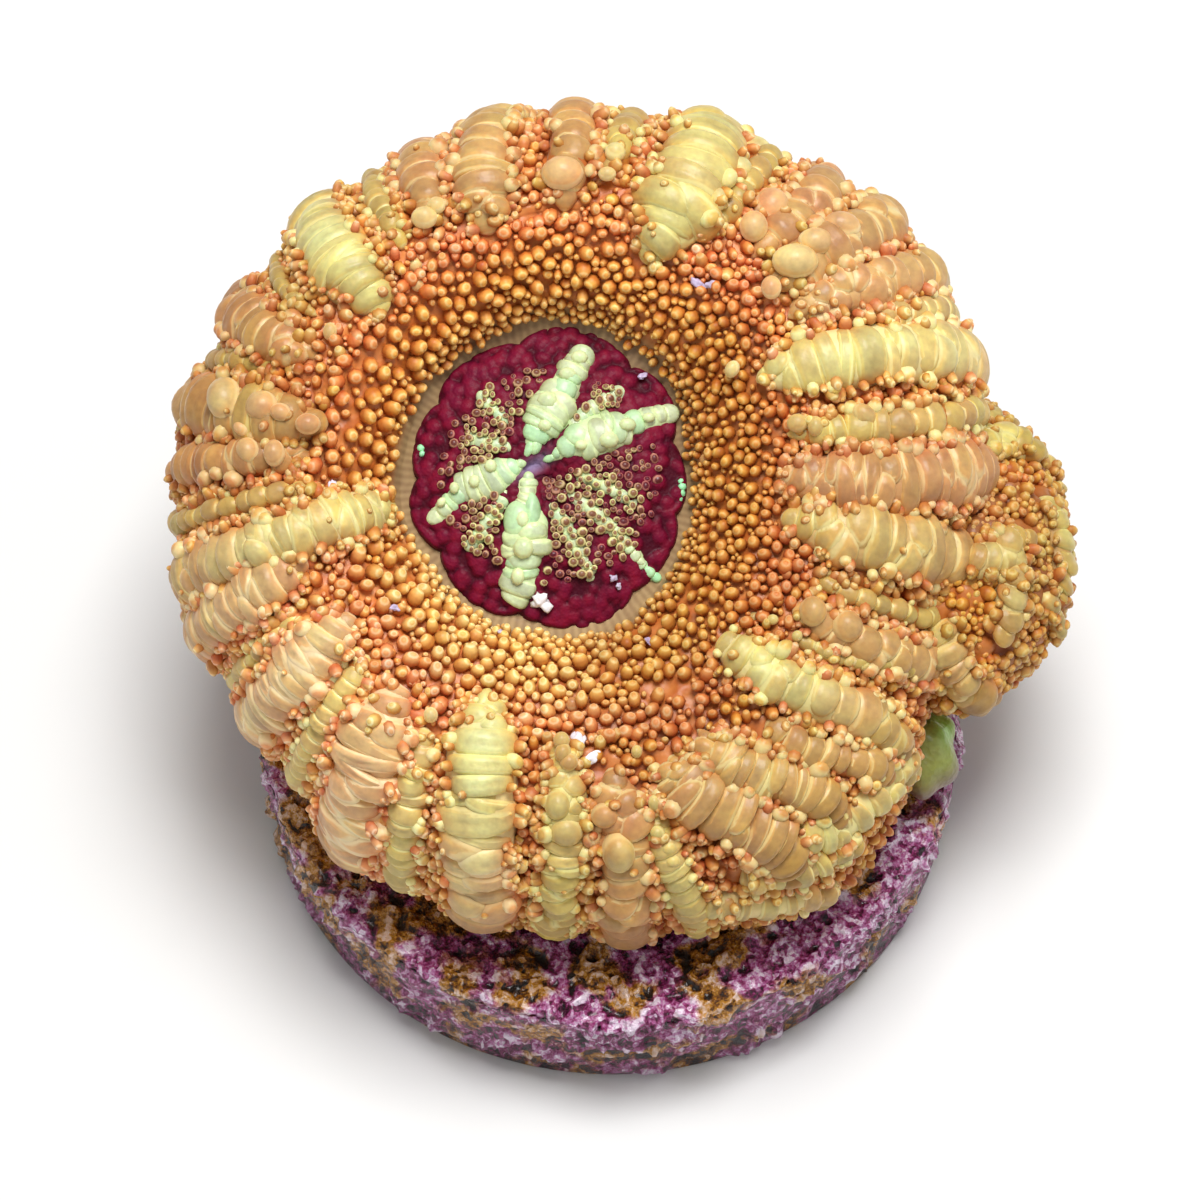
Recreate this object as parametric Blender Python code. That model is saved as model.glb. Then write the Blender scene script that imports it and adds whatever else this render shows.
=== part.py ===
"""An acan coral on a round ceramic frag plug: one big fleshy polyp, a side polyp and a knob of tissue at its foot.

The frame's origin is the centre of the plug's flat underside, +Z is up and the polyp leans towards -Y.
Lengths are in millimetres and angles in degrees until a mesh is made, which is in metres.

The main polyp is a cushion ring round a sunken mouth. Two angles place a point on it:
  around   the direction round the polyp's own axis, 0 towards +X and 90 towards the back
  section  the place on the ring's oval section, 0 on the outer edge, 90 on the crest, 153 at the mouth's rim
"""

import math

import bmesh
import bpy
import numpy as np

MM = 0.001
GAP = 0.3  # clearance between neighbouring solids

# The plug: a flat ceramic disc, 1 1/4 inch across.
PLUG_RADIUS = 16.0
PLUG_HEIGHT = 6.0
PLUG_BEVEL = 0.8
PLUG_DRAFT = 0.4  # how much smaller the underside's radius is
PLUG_SHARP_ANGLE = 30.0  # edges over this stay sharp in shading

# The main polyp.
LEAN = 22.0  # how far its axis leans forward from the vertical
CENTRE = (-1.15, 4.5, 14.6)  # the middle of the ring, level with its outer edge
RING_RADIUS = 11.7
SECTION_HALF_WIDTH = 6.2
SECTION_HALF_HEIGHT = 6.6
RIM_SECTION = 153.0
UNDER_SECTION = -62.0  # where the flank turns in to the foot
MOUTH_SHIFT = (-1.5, 1.65)  # the mouth's centre from the ring's, across and up the slope
DISC_DOME = 0.7  # how far the mouth disc rises above its rim
MOUTH_DIMPLE = 0.5
FOOT_RADIUS = 10.0
FOOT_CENTRE = (-1.0, 3.2)
WAIST_SHARE = 0.7  # how far up from foot to underside the neck stays straight

# Bulges of the outline: (direction, share of the radius, half width in degrees).
OUTLINE_BULGES = (
    (-56.0, 0.10, 18.0),
    (-14.0, -0.08, 20.0),
    (42.0, 0.06, 22.0),
    (95.0, 0.02, 24.0),
    (-146.0, -0.07, 20.0),
)
# The mouth disc's edge is a slightly long oval with shallow scallops: (waves round it, share, direction of a wave).
RIM_WAVES = ((2, 0.055, 90.0), (3, 0.02, -60.0), (7, 0.015, -66.0))

# The wide fleshy lobes that run outwards over the cushion: (direction at the crest, width).
LOBES = (
    (24.0, 3.4),
    (4.0, 3.3),
    (-8.0, 3.4),
    (-25.0, 2.4),
    (-38.0, 2.8),
    (-53.0, 2.6),
    (-66.0, 3.6),
    (-83.0, 3.0),
    (-105.0, 4.2),
    (-126.0, 4.0),
    (-145.0, 3.6),
    (-162.0, 3.0),
    (-169.0, 3.0),
    (174.0, 2.4),
    (164.5, 3.5),
    (150.0, 3.2),
    (133.0, 3.7),
    (114.0, 2.8),
    (103.0, 3.5),
    (88.5, 2.7),
    (69.0, 4.2),
    (52.0, 3.0),
    (43.0, 3.4),
    (35.5, 3.0),
)
LOBE_HEIGHT = 0.75
LOBE_BELL_SHARE = 0.42  # a lobe's bell curve has this share of its width as its half width
LOBE_SECTIONS = (-50.0, 112.0)  # where the lobes start under the edge and end inside the crest
LOBE_FADE = 30.0  # over how much of the section a lobe rises at either end

# The side polyp, an oval bud on the right flank, and the knob of tissue below it.
SIDE_CENTRE = (14.7, 4.4, 12.2)
SIDE_HALF_SIZES = (5.8, 7.6, 5.0)
KNOB_CENTRE = (13.6, -3.3, 7.9)
KNOB_HALF_SIZES = (1.9, 2.3, 2.3)

# How finely the solids are made.
POLYP_SIDES = 112
SECTION_RINGS = 19
NECK_RINGS = 4
DISC_RINGS = 4
PLUG_SIDES = 72
SIDE_POLYP_GRID = (32, 18)  # sides and levels of the oval
KNOB_GRID = (20, 10)


def smooth_step(x):
    """0 below 0 and 1 above 1, with a smooth rise between."""
    x = np.clip(x, 0.0, 1.0)
    return x * x * (3.0 - 2.0 * x)


def turned(angle):
    """An angle in degrees brought between -180 and 180."""
    return (angle + 180.0) % 360.0 - 180.0


def outline(around):
    """The outer edge's share of its mean radius: 1 plus a bell curve for each bulge."""
    share = np.ones_like(around)
    for direction, gain, half_width in OUTLINE_BULGES:
        share += gain * np.exp(-((turned(around - direction) / half_width) ** 2))
    return share


def rim_outline(around):
    """The mouth rim's share of its mean radius: 1 plus a cosine for each wave."""
    share = np.ones_like(around)
    for waves, gain, direction in RIM_WAVES:
        share += gain * np.cos(np.radians(waves * (around - direction)))
    return share


def lobe_swell(around, section):
    """How far the lobes lift the flesh: the highest of one bell curve each across its width, faded at both ends."""
    arc = np.radians(1.0) * (RING_RADIUS + 0.5 * SECTION_HALF_WIDTH)  # millimetres along the ring for a degree
    lift = np.zeros_like(around)
    for direction, width in LOBES:
        across = turned(around - direction) * arc / (LOBE_BELL_SHARE * width)
        lift = np.maximum(lift, np.exp(-(across**2)))
    first, last = LOBE_SECTIONS
    fade = smooth_step((section - first) / LOBE_FADE) * smooth_step((last - section) / LOBE_FADE)
    return LOBE_HEIGHT * lift * fade


def leaning_frame():
    """The polyp's directions as rows: across, up the slope, and along its axis."""
    lean = math.radians(LEAN)
    across = (1.0, 0.0, 0.0)
    up_slope = (0.0, math.cos(lean), math.sin(lean))
    along_axis = (0.0, -math.sin(lean), math.cos(lean))
    return np.array([across, up_slope, along_axis])


def cushion(around, section, swell=0.0):
    """Points of the cushion: an oval section turned round the axis, with the outline's and the mouth's own shapes
    mixed between edge and rim, lifted by the lobes and by swell along the section's outward direction."""
    inward = smooth_step((section - 10.0) / (RIM_SECTION - 10.0))
    share = (1.0 - inward) * outline(around) + inward * rim_outline(around)
    turn, tilt = np.radians(around), np.radians(section)
    lift = lobe_swell(around, section) + swell
    radius = (RING_RADIUS + SECTION_HALF_WIDTH * np.cos(tilt)) * share + lift * np.cos(tilt)
    height = SECTION_HALF_HEIGHT * np.sin(tilt) + lift * np.sin(tilt)
    across = MOUTH_SHIFT[0] * inward + radius * np.cos(turn)
    up_slope = MOUTH_SHIFT[1] * inward + radius * np.sin(turn)
    return np.array(CENTRE) + np.stack([across, up_slope, height], axis=-1) @ leaning_frame()


def above_plug(points, clearance):
    """The points with their heights eased up, so that none lies lower than the clearance over the plug's top."""
    floor, softness = PLUG_HEIGHT + clearance, 0.5
    eased = points.copy()
    eased[..., 2] = floor + softness * np.logaddexp(0.0, (points[..., 2] - floor) / softness)
    return eased


def directions(sides):
    """Directions in degrees spread evenly round a full turn."""
    return np.arange(sides) * 360.0 / sides


def ring_at(centre, radius, around):
    """A level circle's points in the given directions."""
    turn = np.radians(around)
    level_circle = np.stack([np.cos(turn), np.sin(turn), np.zeros_like(turn)], axis=-1)
    return np.array(centre) + radius * level_circle


def polyp_rings(swell=0.0):
    """The main polyp as rings of points, from its foot on the plug, up the neck and over the cushion to the mouth."""
    around = directions(POLYP_SIDES)
    foot = ring_at((*FOOT_CENTRE, PLUG_HEIGHT + GAP - 0.5 * swell), FOOT_RADIUS + swell, around)
    under = above_plug(cushion(around, np.full_like(around, UNDER_SECTION), swell), GAP)
    waist = foot.copy()
    waist[:, 2] += WAIST_SHARE * (under[:, 2] - foot[:, 2])
    rings = []
    for step in range(NECK_RINGS):  # a quadratic curve that leaves the foot upwards and flares to the underside
        t = step / NECK_RINGS
        rings.append((1 - t) ** 2 * foot + 2 * t * (1 - t) * waist + t**2 * under)
    for section in np.linspace(UNDER_SECTION, RIM_SECTION, SECTION_RINGS):
        rings.append(above_plug(cushion(around, np.full_like(around, section), swell), GAP))
    rim, axis = rings[-1], leaning_frame()[2]
    middle = rim.mean(axis=0)
    for step in range(1, DISC_RINGS):
        inner = 1.0 - step / DISC_RINGS
        rise = DISC_DOME * math.sin(math.pi * inner) - MOUTH_DIMPLE * (1.0 - inner) ** 2
        rings.append(middle + (rim - middle) * inner + axis * rise)
    return rings, middle - MOUTH_DIMPLE * axis


def oval_rings(centre, half_sizes, sides, levels):
    """An oval's level rings from bottom to top, and its two poles."""
    around = directions(sides)
    rings = []
    for step in range(1, levels):
        rise = math.pi * (step / levels - 0.5)
        ball_ring = ring_at((0.0, 0.0, math.sin(rise)), math.cos(rise), around)
        rings.append(np.array(centre) + ball_ring * np.array(half_sizes))
    low = np.array(centre) - (0.0, 0.0, half_sizes[2])
    high = np.array(centre) + (0.0, 0.0, half_sizes[2])
    return rings, low, high


def skin(name, rings, first_pole, last_pole, material):
    """A closed mesh object over rings of points, with a fan of triangles to a pole at each end."""
    mesh_data = bmesh.new()
    loops = [[mesh_data.verts.new(point * MM) for point in ring] for ring in rings]
    low = mesh_data.verts.new(np.array(first_pole) * MM)
    high = mesh_data.verts.new(np.array(last_pole) * MM)
    sides = len(loops[0])
    for i in range(sides):
        j = (i + 1) % sides
        mesh_data.faces.new((low, loops[0][j], loops[0][i]))
        mesh_data.faces.new((high, loops[-1][i], loops[-1][j]))
        for lower, upper in zip(loops, loops[1:]):
            mesh_data.faces.new((lower[i], lower[j], upper[j], upper[i]))
    bmesh.ops.recalc_face_normals(mesh_data, faces=mesh_data.faces)
    mesh = bpy.data.meshes.new(name)
    mesh_data.to_mesh(mesh)
    mesh_data.free()
    mesh.materials.append(material)
    mesh.shade_smooth()
    made = bpy.data.objects.new(name, mesh)
    bpy.context.scene.collection.objects.link(made)
    return made


def finish(name, colour, roughness):
    material = bpy.data.materials.new(name)
    material.use_nodes = True
    shader = material.node_tree.nodes["Principled BSDF"]
    shader.inputs["Base Color"].default_value = (*colour, 1.0)
    shader.inputs["Roughness"].default_value = roughness
    shader.inputs["Metallic"].default_value = 0.0
    return material


def make_plug(material):
    """The ceramic disc: bevelled rings turned round the Z axis, a little narrower at the underside."""
    around = directions(PLUG_SIDES)
    low_radius = PLUG_RADIUS - PLUG_DRAFT
    outline_points = (
        (low_radius - PLUG_BEVEL, 0.0),
        (low_radius, PLUG_BEVEL),
        (PLUG_RADIUS, PLUG_HEIGHT - PLUG_BEVEL),
        (PLUG_RADIUS - 0.3 * PLUG_BEVEL, PLUG_HEIGHT - 0.3 * PLUG_BEVEL),
        (PLUG_RADIUS - PLUG_BEVEL, PLUG_HEIGHT),
    )
    rings = [ring_at((0.0, 0.0, height), radius, around) for radius, height in outline_points]
    plug = skin("frag_plug", rings, (0.0, 0.0, 0.0), (0.0, 0.0, PLUG_HEIGHT), material)
    plug.data.set_sharp_from_angle(angle=math.radians(PLUG_SHARP_ANGLE))
    return plug


def make_main_polyp(material):
    rings, mouth = polyp_rings()
    foot_middle = (*FOOT_CENTRE, PLUG_HEIGHT + GAP)
    return skin("main_polyp", rings, foot_middle, mouth, material)


def make_cutter(name, rings, first_pole, last_pole, material):
    cutter = skin(name, rings, first_pole, last_pole, material)
    cutter.hide_render = True
    cutter.display_type = "WIRE"
    return cutter


def make_polyp_cutter(material):
    """The main polyp grown by the gap all over, which cuts its neighbours back from it."""
    rings, mouth = polyp_rings(swell=GAP)
    foot_middle = (*FOOT_CENTRE, PLUG_HEIGHT + 0.5 * GAP)
    return make_cutter("polyp_clearance", rings, foot_middle, mouth, material)


def make_side_cutter(material):
    """The side polyp's whole oval grown by the gap, which cuts the knob back from it."""
    grown = tuple(half + GAP for half in SIDE_HALF_SIZES)
    return make_cutter("side_clearance", *oval_rings(SIDE_CENTRE, grown, *SIDE_POLYP_GRID), material)


def cut_by(made, cutter):
    cut = made.modifiers.new(f"cut_by_{cutter.name}", "BOOLEAN")
    cut.operation = "DIFFERENCE"
    cut.solver = "EXACT"
    cut.object = cutter


def make_side_polyp(material, cutter):
    """The bud: an oval cut back where it grows out of the main polyp."""
    side = skin("side_polyp", *oval_rings(SIDE_CENTRE, SIDE_HALF_SIZES, *SIDE_POLYP_GRID), material)
    cut_by(side, cutter)
    return side


def make_base_knob(material, cutters):
    """The knob: an oval that stands on the plug's rim, eased flat underneath and cut back from both polyps."""
    rings, low, high = oval_rings(KNOB_CENTRE, KNOB_HALF_SIZES, *KNOB_GRID)
    rings = [above_plug(ring, GAP) for ring in rings]
    low = (low[0], low[1], PLUG_HEIGHT + GAP)
    knob = skin("base_knob", rings, low, high, material)
    for cutter in cutters:
        cut_by(knob, cutter)
    return knob


def clear_scene():
    for old in list(bpy.data.objects):
        bpy.data.objects.remove(old, do_unlink=True)


def main():
    clear_scene()
    flesh = finish("orange flesh", (0.78, 0.36, 0.11), 0.35)
    bud_flesh = finish("bud flesh", (0.72, 0.42, 0.13), 0.35)
    ceramic = finish("crusted ceramic", (0.33, 0.15, 0.25), 0.6)
    green_tissue = finish("green tissue", (0.22, 0.25, 0.12), 0.45)
    make_plug(ceramic)
    make_main_polyp(flesh)
    polyp_cutter = make_polyp_cutter(flesh)
    make_side_polyp(bud_flesh, polyp_cutter)
    make_base_knob(green_tissue, (polyp_cutter, make_side_cutter(flesh)))


main()
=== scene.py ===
"""An acan coral on a round ceramic frag plug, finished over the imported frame.

The flesh is a cushion ring round a sunken mouth, pleated lobes run outwards over it, and beads of flesh fill the
slope inside the lobes and the valleys between them. Lengths are in millimetres and angles in degrees until a mesh is
made. Two angles place a point on the cushion, as in the solid model:
  around   the direction round the polyp's own axis, 0 towards +X and 90 towards the back
  section  the place on the ring's oval section, 0 on the outer edge, 90 on the crest, 153 at the mouth's rim
"""

import math
from collections import namedtuple

import bpy
import numpy as np
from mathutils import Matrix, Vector


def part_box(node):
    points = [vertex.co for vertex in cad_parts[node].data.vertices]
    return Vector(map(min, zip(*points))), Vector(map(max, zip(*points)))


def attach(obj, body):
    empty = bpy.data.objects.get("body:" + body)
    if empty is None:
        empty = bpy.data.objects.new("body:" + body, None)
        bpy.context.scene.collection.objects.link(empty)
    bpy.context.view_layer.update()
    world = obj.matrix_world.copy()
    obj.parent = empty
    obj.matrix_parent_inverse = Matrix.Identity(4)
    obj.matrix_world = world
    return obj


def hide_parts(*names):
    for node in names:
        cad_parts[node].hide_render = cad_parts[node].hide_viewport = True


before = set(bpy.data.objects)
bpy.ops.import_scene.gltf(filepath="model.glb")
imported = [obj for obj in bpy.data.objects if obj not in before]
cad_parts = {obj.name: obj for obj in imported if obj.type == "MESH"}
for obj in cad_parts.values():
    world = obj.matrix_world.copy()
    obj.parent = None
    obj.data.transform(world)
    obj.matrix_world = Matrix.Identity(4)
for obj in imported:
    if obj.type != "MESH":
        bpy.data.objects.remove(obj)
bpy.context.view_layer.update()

MM = 0.001
BODY = "root"


# ---------------------------------------------------------------- the polyp's form

LEAN = 22.0  # how far the polyp's axis leans forward
CENTRE = np.array([-1.15, 4.5, 14.6])
RING_RADIUS = 11.7
SECTION_HALF_WIDTH = 6.2
SECTION_HALF_HEIGHT = 6.6
RIM_SECTION = 153.0
TURNING_SECTION = 10.0  # from here up to the rim the outline turns into the mouth's own
UNDER_SECTION = -62.0
MOUTH_SHIFT = (-1.5, 1.65)
FLESH_INSET = -0.55  # the flesh under the lobes lies this much inside the solid's plain form
# Each bulge of the outline: (direction, gain, half width).
OUTLINE_BULGES = (
    (-56.0, 0.10, 18.0),
    (-14.0, -0.08, 20.0),
    (42.0, 0.06, 22.0),
    (95.0, 0.02, 24.0),
    (-146.0, -0.07, 20.0),
)
# Each wave of the mouth's rim: (number round it, gain, direction of a crest).
RIM_WAVES = ((2, 0.055, 90.0), (3, 0.02, -60.0), (7, 0.015, -66.0))

PLUG_LOW, PLUG_HIGH = (np.array(corner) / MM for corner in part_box("frag_plug"))
PLUG_RADIUS = (PLUG_HIGH[0] - PLUG_LOW[0]) / 2
PLUG_TOP = PLUG_HIGH[2]
KNOB_LOW, KNOB_HIGH = (np.array(corner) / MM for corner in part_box("base_knob"))

SIDE_CENTRE = np.array([14.7, 4.4, 12.2])
SIDE_HALF_SIZES = np.array([5.8, 7.6, 5.0])
SIDE_INSET = -0.45
EASING = 0.4  # the length over which a height near the plug is eased up
FAR = 30.0  # beyond this many easings a height stays as it is


def smooth_step(x):
    """0 below 0 and 1 above 1, with a smooth rise between."""
    x = np.clip(x, 0.0, 1.0)
    return x * x * (3.0 - 2.0 * x)


def rise(x, start, length):
    """0 up to the start and 1 from a length beyond it, with a smooth rise between."""
    return smooth_step((x - start) / length)


def turned(angle):
    """An angle brought between -180 and 180."""
    return (angle + 180.0) % 360.0 - 180.0


def bell(x):
    """A bell curve, 1 at 0 and near 0 beyond 2: e to the minus x squared."""
    return np.exp(-(x**2))


def near(angle, middle, half_width):
    """A bell curve round a direction."""
    return bell(turned(angle - middle) / half_width)


def dome(distance, radius):
    """A half ball's height at a distance from its middle, as a share of its radius."""
    return np.sqrt(np.clip(1.0 - (distance / radius) ** 2, 0.0, 1.0))


def unit(vectors):
    """The vectors along the last axis at length 1."""
    return vectors / np.maximum(np.linalg.norm(vectors, axis=-1, keepdims=True), 1e-9)


def turns(count):
    """The angles of points spread evenly round a ring."""
    return np.arange(count) * 2 * math.pi / count


def revolve(radius, height, turn):
    """Points at a radius and height, turned round the upright axis."""
    return np.stack(np.broadcast_arrays(radius * np.cos(turn), radius * np.sin(turn), height + 0.0 * turn), axis=-1)


def unit_ball(lon, lat):
    """Points of a ball of radius 1 at a longitude and latitude."""
    lon, lat = np.radians(lon), np.radians(lat)
    return revolve(np.cos(lat), np.sin(lat), lon)


def distance_to(points, line, margin=0.0):
    """Each point's least distance to the points of a line, less a margin that may differ along the line."""
    return (np.linalg.norm(points[:, None] - line[None], axis=2) - margin).min(axis=1)


def only(chosen, *arrays):
    """The chosen entries of each array."""
    return [values[chosen] for values in arrays]


def outline(around):
    """The cushion's outline as a share of its plain radius: 1 and a bell curve for each bulge."""
    return sum((gain * near(around, direction, half_width) for direction, gain, half_width in OUTLINE_BULGES), 1.0)


def rim_outline(around):
    """The mouth's outline as a share of its plain radius: 1 and a cosine for each wave."""
    return sum((gain * np.cos(np.radians(waves * (around - crest))) for waves, gain, crest in RIM_WAVES), 1.0)


def leaning_frame():
    """The polyp's directions as rows: across, up the slope, and along its axis."""
    lean = math.radians(LEAN)
    return np.array([[1, 0, 0], [0, math.cos(lean), math.sin(lean)], [0, -math.sin(lean), math.cos(lean)]])


LEANING = leaning_frame()
POLYP_AXIS = LEANING[2]  # out of the mouth


def cushion(around, section, lift=0.0):
    """An oval section turned round the leaning axis. Between edge and rim its outline turns from the bulged one to the
    mouth's own, and its middle moves to the mouth's. lift moves the surface outwards along the section."""
    around, section = np.broadcast_arrays(np.asarray(around, float), np.asarray(section, float))
    inward = rise(section, TURNING_SECTION, RIM_SECTION - TURNING_SECTION)
    share = (1.0 - inward) * outline(around) + inward * rim_outline(around)
    turn, tilt = np.radians(around), np.radians(section)
    radius = (RING_RADIUS + SECTION_HALF_WIDTH * np.cos(tilt)) * share + lift * np.cos(tilt)
    height = SECTION_HALF_HEIGHT * np.sin(tilt) + lift * np.sin(tilt)
    across = MOUTH_SHIFT[0] * inward + radius * np.cos(turn)
    up_slope = MOUTH_SHIFT[1] * inward + radius * np.sin(turn)
    return CENTRE + np.stack([across, up_slope, height], axis=-1) @ LEANING


DISC_ANCHOR = cushion(np.arange(0.0, 360.0, 2.0), RIM_SECTION, FLESH_INSET).mean(axis=0)  # the disc's middle


def flesh(around, section):
    """A point of the flesh and its outward direction, from the differences to its neighbours on the cushion."""
    around, section = np.asarray(around, float), np.asarray(section, float)
    along = cushion(around + 0.5, section) - cushion(around - 0.5, section)
    down = cushion(around, section - 0.5) - cushion(around, section + 0.5)
    return cushion(around, section, FLESH_INSET), unit(np.cross(down, along))


def above_plug(points, clearance):
    """Heights eased up, so that no point lies lower than the clearance over the plug's top: each is the logarithm of
    1 plus e to the height over that floor."""
    floor = PLUG_TOP + clearance
    height = (points[..., 2] - floor) / EASING
    eased = floor + EASING * np.log1p(np.exp(np.clip(height, -FAR, FAR)))
    return np.concatenate([points[..., :2], np.where(height > FAR, points[..., 2], eased)[..., None]], axis=-1)


def side_flesh(lon, lat):
    """A point of the side polyp's oval, and its outward direction."""
    ball = unit_ball(lon, lat)
    return SIDE_CENTRE + ball * (SIDE_HALF_SIZES + SIDE_INSET), unit(ball / SIDE_HALF_SIZES)


# ---------------------------------------------------------------- noise and meshes

MIXERS = (73856093, 19349663, 83492791, 2654435761)  # large primes that scatter the bits of whole numbers
STIRRERS = ((13, 1274126177), (11, 668265263))
LARGEST = 0x7FFFFFFF


def lattice_random(lattice, salt):
    """A number from 0 to 1 for each whole-numbered lattice cell, by mixing its three numbers' bits."""
    x, y, z = (lattice[..., k].astype(np.int64) * MIXERS[k] for k in range(3))
    mixed = x ^ y ^ z ^ salt * MIXERS[3]
    for shift, stirrer in STIRRERS:
        mixed = (mixed ^ (mixed >> shift)) * stirrer & LARGEST
    return mixed / LARGEST


def lumps(points, size, salt):
    """Smooth noise from 0 to 1: each lattice corner's random number, blended across the cell."""
    scaled = points / size
    low = np.floor(scaled)
    blend = smooth_step(scaled - low)
    total = np.zeros(points.shape[:-1])
    for corner in np.ndindex(2, 2, 2):
        weight = np.prod(np.where(np.array(corner) == 1, blend, 1.0 - blend), axis=-1)
        total += weight * lattice_random(low + corner, salt)
    return total


def cells(points, size, salt):
    """The distances, in cells, to the nearest and second nearest of one scattered point in each lattice cell."""
    scaled = points / size
    home = np.floor(scaled)
    nearest = np.full(points.shape[:-1], 9.0)
    second = np.full(points.shape[:-1], 9.0)
    for step in np.ndindex(3, 3, 3):
        cell = home + np.array(step) - 1
        spot = cell + np.stack([lattice_random(cell, salt + 3 * k + 1) for k in range(3)], axis=-1)
        distance = np.linalg.norm(spot - scaled, axis=-1)
        second = np.minimum(second, np.maximum(nearest, distance))
        nearest = np.minimum(nearest, distance)
    return nearest, second


class Shapes:
    """Closed shapes gathered into one piece. Each is a grid of rings with a pole at either end."""

    def __init__(self):
        self.points, self.quads, self.triangles, self.masks, self.count = [], [], [], [], 0

    def add(self, points, masks, low=None, high=None):
        """points is shapes x rings x points of a ring x 3, and a mask is a number for each point, or anything that
        spreads to that. A pole lies at the middle of the end ring unless it is given. Faces are turned outwards by
        the sign of the volume."""
        shapes, rings, sides = points.shape[:3]
        low = points[:, 0].mean(axis=1) if low is None else low
        high = points[:, -1].mean(axis=1) if high is None else high
        every = np.concatenate([points.reshape(shapes, -1, 3), low[:, None], high[:, None]], axis=1)
        row, side = np.arange(rings - 1)[:, None] * sides, np.arange(sides)[None, :]
        after = (side + 1) % sides
        quads = np.stack([row + side, row + after, row + sides + after, row + sides + side], axis=-1).reshape(-1, 4)
        side, after, pole, top = side[0], after[0], rings * sides, (rings - 1) * sides
        first = np.stack([np.full(sides, pole), after, side], axis=-1)
        last = np.stack([np.full(sides, pole + 1), top + side, top + after], axis=-1)
        triangles = np.concatenate([first, last])
        corners = every[0][np.concatenate([quads[:, [0, 1, 2]], quads[:, [0, 2, 3]], triangles])]
        corners = corners - every[0].mean(axis=0)
        if np.einsum("ij,ij->i", corners[:, 0], np.cross(corners[:, 1], corners[:, 2])).sum() < 0:
            quads, triangles = quads[:, ::-1], triangles[:, ::-1]
        starts = self.count + np.arange(shapes)[:, None, None] * every.shape[1]
        self.quads.append((quads + starts).reshape(-1, 4))
        self.triangles.append((triangles + starts).reshape(-1, 3))
        self.points.append(every.reshape(-1, 3))
        spread = {}
        for name, values in masks.items():
            values = np.broadcast_to(values, points.shape[:3])
            ends = [values[:, 0].mean(axis=1)[:, None], values[:, -1].mean(axis=1)[:, None]]
            spread[name] = np.concatenate([values.reshape(shapes, -1), *ends], axis=1).ravel()
        self.masks.append(spread)
        self.count += shapes * every.shape[1]

    def make(self, name, material, slot, *nodes):
        """The piece, riding on the part's one body, in place of the solids that are named."""
        points = np.concatenate(self.points)
        quads, triangles = np.concatenate(self.quads), np.concatenate(self.triangles)
        corners = np.concatenate([quads.ravel(), triangles.ravel()])
        starts = np.concatenate([np.arange(len(quads)) * 4, quads.size + np.arange(len(triangles)) * 3])
        mesh = bpy.data.meshes.new(name)
        mesh.vertices.add(len(points))
        mesh.vertices.foreach_set("co", (points * MM).astype(np.float32).ravel())
        mesh.loops.add(len(corners))
        mesh.loops.foreach_set("vertex_index", corners.astype(np.int32))
        mesh.polygons.add(len(starts))
        mesh.polygons.foreach_set("loop_start", starts.astype(np.int32))
        mesh.update(calc_edges=True)
        for mask in self.masks[0]:
            values = np.concatenate([masks[mask] for masks in self.masks])
            mesh.attributes.new(mask, "FLOAT", "POINT").data.foreach_set("value", values.astype(np.float32))
        mesh.shade_smooth()
        mesh.materials.append(material)
        piece = put_in_scene(name, mesh)
        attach(piece, BODY)
        for node in nodes:
            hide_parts(node)


def make_grids(points, masks, *labels):
    """A piece made of one set of grids, with its name, material and solids; the slot it is given is not used."""
    shapes = Shapes()
    shapes.add(points, masks)
    shapes.make(*labels)


def put_in_scene(name, data):
    """An object in the scene that holds a mesh, a lamp or a camera."""
    made = bpy.data.objects.new(name, data)
    bpy.context.scene.collection.objects.link(made)
    return made


# ---------------------------------------------------------------- materials

MIX_FACTOR, MIX_FIRST, MIX_SECOND, MIX_COLOUR = 0, 6, 7, 2  # the colour sockets of a mix node
# The brown that painted shade multiplies a colour by.
PAINTED_SHADE_TINT = [0.68, 0.6, 0.44, 1.0]  # a linear colour


def feed(tree, socket, value):
    """A socket given a value, or a link from another node's output."""
    if isinstance(value, bpy.types.NodeSocket):
        tree.links.new(value, socket)
    else:
        socket.default_value = value


def node(tree, kind, inputs=None, **settings):
    """A node with its settings. inputs gives each socket, by name or number, a value or another node's output."""
    made = tree.nodes.new(kind)
    for name, value in settings.items():
        setattr(made, name, value)
    for name, value in (inputs or {}).items():
        feed(tree, made.inputs[name], value)
    return made


def group(name, inputs, outputs):
    """An empty group with its input and output nodes. Sockets are given as (name, kind, starting value)."""
    tree = bpy.data.node_groups.new(name, "ShaderNodeTree")
    for socket, kind, value in inputs:
        made = tree.interface.new_socket(socket, in_out="INPUT", socket_type="NodeSocket" + kind)
        if value is not None:
            made.default_value = value
    for socket, kind in outputs:
        tree.interface.new_socket(socket, in_out="OUTPUT", socket_type="NodeSocket" + kind)
    return tree, tree.nodes.new("NodeGroupInput").outputs, tree.nodes.new("NodeGroupOutput")


def linear(red, green, blue):
    """A colour given as screen values from 0 to 255, turned to the linear values that a shader takes."""
    parts = [value / 255.0 for value in (red, green, blue)]
    return [v / 12.92 if v <= 0.04045 else ((v + 0.055) / 1.055) ** 2.4 for v in parts] + [1.0]


def mix(tree, factor, first, second, kind="MIX"):
    """Two colours mixed by a factor. Each is an output, a tuple of screen values or a list of linear ones."""
    first, second = (linear(*colour) if isinstance(colour, tuple) else colour for colour in (first, second))
    inputs = {MIX_FACTOR: factor, MIX_FIRST: first, MIX_SECOND: second}
    return node(tree, "ShaderNodeMix", inputs, data_type="RGBA", blend_type=kind).outputs[MIX_COLOUR]


def maths(tree, operation, first, second=0.0, clamp=False):
    """The outcome of one sum on two values, each an output or a number."""
    inputs = {0: first, 1: second}
    return node(tree, "ShaderNodeMath", inputs, operation=operation, use_clamp=clamp).outputs[0]


def times(tree, first, second):
    """The product of two values."""
    return maths(tree, "MULTIPLY", first, second)


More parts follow.
